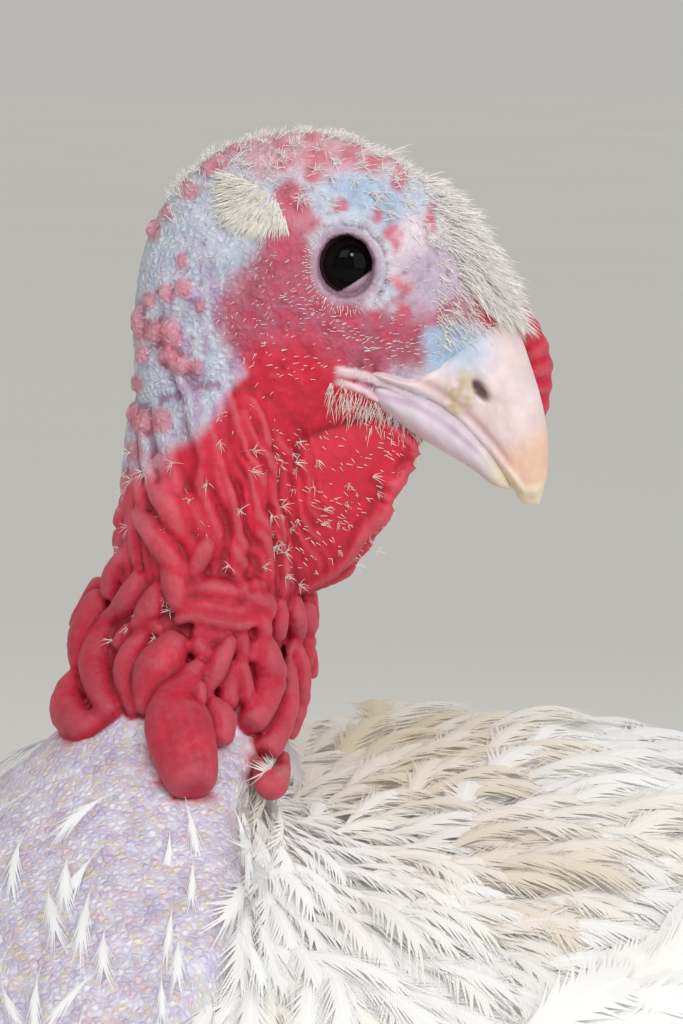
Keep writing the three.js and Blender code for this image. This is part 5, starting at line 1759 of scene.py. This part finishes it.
def stars(roots, outs, spikes, length, radius, flat=0.9):
    """Small starry clumps: several spikes from each root, spread round the outward direction."""
    roots, outs = np.repeat(roots, spikes, axis=0), np.repeat(outs, spikes, axis=0)
    aim = unit(outs * flat + bristle_rng.normal(0, 0.55, outs.shape))
    n = len(roots)
    return bristle_batch(roots + bristle_rng.normal(0, 0.25, roots.shape), aim,
                         length * bristle_rng.uniform(0.6, 1.3, n),
                         radius * bristle_rng.uniform(0.8, 1.2, n), 0.2)


def hairs(at, out, stand, lie, loose, long, thick, droop=0.15):
    """Short hairs: how far they stand up, their lie ahead and up, and a range of lengths."""
    aim = out * stand + from_head_aim(lie[0], 0, lie[1]) + bristle_rng.normal(0, loose, out.shape)
    length = bristle_rng.uniform(*long, len(at))
    fine.append(bristle_batch(at, aim, length, np.full(len(at), thick), droop))


BRISTLE_WHITE, BRISTLE_CREAM = paint(244, 240, 238), paint(238, 233, 224)
brush, crown, fine = [], [], []

at, along, out = on_skull((6.0, 11.6), (-1.35, 1.35), 4600)
h = to_head(at)
edge = np.interp(h[:, 0], [4, 12, 19, 24, 28, 32, 45], [33, 27, 22, 12, 1, -8, -16])
keep = (h[:, 2] > edge + 3 * ripple(at, 5.0, 2.0)) & (h[:, 2] > -15)
at, along, out = at[keep], along[keep], out[keep]
brush.append(bristle_batch(at, unit(out * 0.85 + along * 0.62 + bristle_rng.normal(0, 0.2, at.shape)
                                    + 0.3 * ripple(at, 2.6, 9.0)[:, None] * from_head_aim(0.5, 0, 1.0)),
                           bristle_rng.uniform(4.5, 8.5, len(at)) * (1.15 + 0.45 * ripple(at, 2.2, 5.0)),
                           bristle_rng.uniform(0.16, 0.27, len(at)), 0.25))

at, along, out = on_skull((2.2, 8.6), (-0.95, 0.95), 190)
crown.append(stars(at + out * 0.4, unit(out + 0.35 * along), 13, 3.2, 0.13))
at, along, out = on_skull((2.0, 8.4), (-1.0, 1.0), 900)
crown.append(bristle_batch(at, unit(out + 0.6 * along + bristle_rng.normal(0, 0.3, at.shape)),
                           bristle_rng.uniform(1.6, 4.6, len(at)), bristle_rng.uniform(0.13, 0.2, len(at))))

for side in (-1, 1):
    turn, far = bristle_rng.uniform(math.radians(160), math.radians(292),
                                    820), np.sqrt(bristle_rng.uniform(0.01, 1, 820))
    reach = far * (13.5 - 5.0 * smooth_step(turn, math.radians(200), math.radians(280)))
    at, out = rooted(-18.5 + reach * np.cos(turn), 19 + reach * np.sin(turn), side)
    spread = to_head(at) - [-17.0, 0, 22.0]
    fan = unit(spread[:, 0:1] * HEAD_AHEAD + spread[:, 2:3] * UP) + 0.3 * out + bristle_rng.normal(0, 0.12,
            out.shape)
    fine.append(bristle_batch(at, fan, bristle_rng.uniform(3.0, 6.0, len(at)),
                              bristle_rng.uniform(0.15, 0.24, len(at)), 0.1))
    # three rows of short bristles round the eyelids
    for ring, count, long in ((1.2, 80, 1.5), (1.34, 80, 1.3), (1.46, 70, 1.1)):
        turn = np.linspace(0, 2 * math.pi, count, endpoint=False) + bristle_rng.normal(0, 0.03, count)
        at, out = rooted(0.4 + 7.6 * ring * np.cos(turn), -0.6 + 8.4 * ring * np.sin(turn), side)
        away = unit(to_head(at) * [1, 0, 1] + [-0.4, 0, 0.6])
        aim = from_head_aim(away[:, 0:1], 0, away[:, 2:3]) + 0.7 * out
        fine.append(bristle_batch(at - 0.1 * out, aim, long * bristle_rng.uniform(0.6, 1.4, len(at)),
                                  np.full(len(at), 0.13), 0.0))
    # short bristles in rows on the cheek, and loose ones on cheek, lores and nape
    rows = [np.interp(np.linspace(0, 1, 40), [0, 0.5, 1], z) for z in ([-8, -20, -22], [-10, -22, -24.5])]
    xs = np.concatenate([np.linspace(-15, 26, 40)] * 2
                        + [bristle_rng.uniform(-24, 30, 230)]) + bristle_rng.normal(0, 0.5, 310)
    zs = np.concatenate(rows + [bristle_rng.uniform(-30, 4, 230)]) + bristle_rng.normal(0, 0.4, 310)
    at, out = rooted(xs, zs, side)
    keep = np.hypot((to_head(at)[:, 0] - 0.3) / 12, (to_head(at)[:, 2] + 0.5) / 13) > 1
    at, out = at[keep], out[keep]
    hairs(at, out, 0.4, (0.9, 0.25), 0.25, (0.8, 2.0), 0.14, 0.0)
    at, out = strewn((24, 42), (-22, 0), 330, side)
    hairs(at, out, 0.5, (0.6, -0.5), 0.35, (1.6, 3.8), 0.16)
    # longer hairs under the gape and along the chin
    share = bristle_rng.uniform(0, 1, 380)
    at, out = rooted(-4 + 26 * share, -33.5 - 12 * share + bristle_rng.normal(0, 3.0, 380), side)
    hairs(at, out, 0.3, (-0.3, -0.9), 0.32, (1.5, 5.0), 0.11)
    at, out = strewn((-52, -18), (-45, 22), 260, side)
    hairs(at, out, 0.7, (-0.5, -0.5), 0.3, (0.8, 1.8), 0.12)
    # stars and single bristles on the dewlap
    at, out = strewn((-26, 16), (-84, -46), 30, side)
    fine.append(stars(at, out, 8, 2.2, 0.09))
    at, out = strewn((-20, 18), (-84, -42), 200, side)
    hairs(at, out, 0.5, (0.6, -0.3), 0.3, (1.0, 2.2), 0.14, 0.0)

found = [on_neck(bristle_rng.uniform(-170, 190), bristle_rng.uniform(46, 100)) for _ in range(110)]
at, out = np.array([f[0] for f in found]), np.array([f[1] for f in found])
fine.append(stars(at + out * 1.8, out, 9, 3.0, 0.095, 0.7))


def bristle_piece(name, batches, colour):
    parts = [(b, unwrapped(b["points"][:, 0]), np.tile(colour, (len(b["s"]), 1)) *
              np.random.default_rng(5).uniform(0.88, 1.03, (len(b["s"]), 1))) for b in batches if len(b["s"])]
    return feather_piece(name, parts, bristle_finish)


# The emission is painted light: a faint glow that stands for light shining through the thin white bristles.
bristle_finish, tree, shader = new_finish("bristle_white", Roughness=0.55, Specular_IOR_Level=0.3,
                                          Emission_Strength=0.08)
shader.inputs["Emission Color"].default_value = (1.0, 0.98, 0.94, 1)
tip = add_node(tree, "ShaderNodeSeparateXYZ", add_node(tree, "ShaderNodeUVMap", uv_map="Vane").outputs[0])
coloured(tree, shader, stored(tree, "tint", "Color"), mapped(tree, tip.outputs["X"], 0.86, 1.0))
bristle_piece("bristles_forehead", brush, BRISTLE_WHITE)
bristle_piece("bristles_crown", crown, BRISTLE_WHITE)
bristle_piece("bristles_face_and_neck", fine, BRISTLE_CREAM)

# %% [markdown]
# A grown tom has a beard: a bundle of coarse black bristles that hangs from the middle of the breast. It is
# made of long thin spikes that follow one curve and spread a little at the end.
# %% Beard
BEARD = np.array([(0, -214, 437), (0, -236, 424), (0, -244, 396), (0, -246, 358), (1, -243, 326)], float)
count = 240
offset = bristle_rng.normal(0, 1, (count, 2)) * [3.0, 2.4]
share, radius = np.linspace(0, 1, 8), bristle_rng.uniform(0.5, 0.85, count)
ends = bristle_rng.uniform(0.78, 1.02, count)
way = np.stack([spline(BEARD, share * e) for e in ends])
spread = (0.8 + 0.7 * share)[None, :, None] * offset[:, None, :]
way[..., 0] += spread[..., 0]
way[..., 1] += spread[..., 1] + 0.6
way += bristle_rng.normal(0, 0.35, way.shape)
thick = radius[:, None] * np.array([0.8, 1, 1, 1, 0.95, 0.85, 0.6, 0.12])[None, :]
turns = np.array(THIRDS)
ring = np.stack([np.cos(turns), np.sin(turns) * 0.9, 0 * turns], -1)
points = way[:, :, None, :] + ring[None, None] * thick[:, :, None, None]
faces = [(a * 3 + k, a * 3 + (k + 1) % 3, a * 3 + 3 + (k + 1) % 3) for a in range(7) for k in range(3)] \
    + [(a * 3 + k, a * 3 + 3 + (k + 1) % 3, a * 3 + 3 + k) for a in range(7) for k in range(3)]
batch = {"points": points.reshape(count, 24, 3), "faces": np.array(faces)[:, ::-1],
         "s": np.tile(np.repeat(share, 3), (count, 1)), "v": np.tile([0, 0.5, 1.0] * 8, (count, 1))}
beard_finish, tree, shader = new_finish("beard_black", Roughness=0.42, Specular_IOR_Level=0.5)
strands = add_node(tree, "ShaderNodeTexNoise", Vector=in_place(tree), Scale=300.0, Detail=3.0)
beard_tone = ramp(tree, strands.outputs["Fac"], [(0.3, (0.012, 0.010, 0.010)), (0.7, (0.05, 0.04, 0.036))])
feed(tree, shader.inputs["Base Color"], beard_tone)
beard_piece = feather_piece("beard_bristles",
                            [(batch, np.stack([0.5 + offset[:, 0] / 300, 0.5 + offset[:, 1] / 300], -1),
                                                np.tile(paint(40, 34, 32), (count, 1)))], beard_finish)
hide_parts("beard")

# %% [markdown]
# The studio is plain: a pale floor, one broad soft light from above and the left, a weaker one from the
# right, and a pale surround that fills the shadows.
# %% Floor and lights
floor = mesh_piece("floor", np.array([[-40, -40, 0], [40, -40, 0], [40, 40, 0], [-40, 40, 0]], float),
                   np.array([[0, 1, 2, 3]]))
floor_finish, tree, shader = new_finish("floor_paint", Roughness=0.85, Emission_Strength=0.135)
shader.inputs["Emission Color"].default_value = (1.0, 0.98, 0.93, 1)
grain = add_node(tree, "ShaderNodeTexNoise", Scale=60.0, Detail=3.0)
tone = ramp(tree, grain.outputs["Fac"], [(0.3, (0.71, 0.70, 0.67)), (0.7, (0.73, 0.72, 0.69))])
feed(tree, shader.inputs["Base Color"], tone)
floor.data.materials.append(floor_finish)


def soft_light(name, place, target, size, power, colour=(1, 1, 1)):
    data = bpy.data.lights.new(name, "AREA")
    data.shape, data.size, data.energy, data.color = "SQUARE", size, power, colour
    light = bpy.data.objects.new(name, data)
    light.location = place
    light.rotation_euler = (Vector(place) - Vector(target)).to_track_quat("Z", "Y").to_euler()
    bpy.context.scene.collection.objects.link(light)


bpy.context.scene.view_settings.view_transform = "Standard"
target = middle("head")
soft_light("key", (1.1, -1.9, 2.3), target, 1.6, 22.5, (1.0, 0.985, 0.96))
soft_light("fill", (2.2, -0.2, 1.1), target, 1.8, 13.5, (0.97, 0.985, 1.0))
soft_light("rim", (-0.6, 1.6, 1.9), target, 1.4, 12)
soft_light("catch", (1.15, -0.75, 1.35), target, 0.2, 4.5)
world = bpy.data.worlds.new("surround")
bpy.context.scene.world = world
world.use_nodes = True
world.node_tree.nodes["Background"].inputs["Color"].default_value = (0.80, 0.79, 0.76, 1)
world.node_tree.nodes["Background"].inputs["Strength"].default_value = 0.6
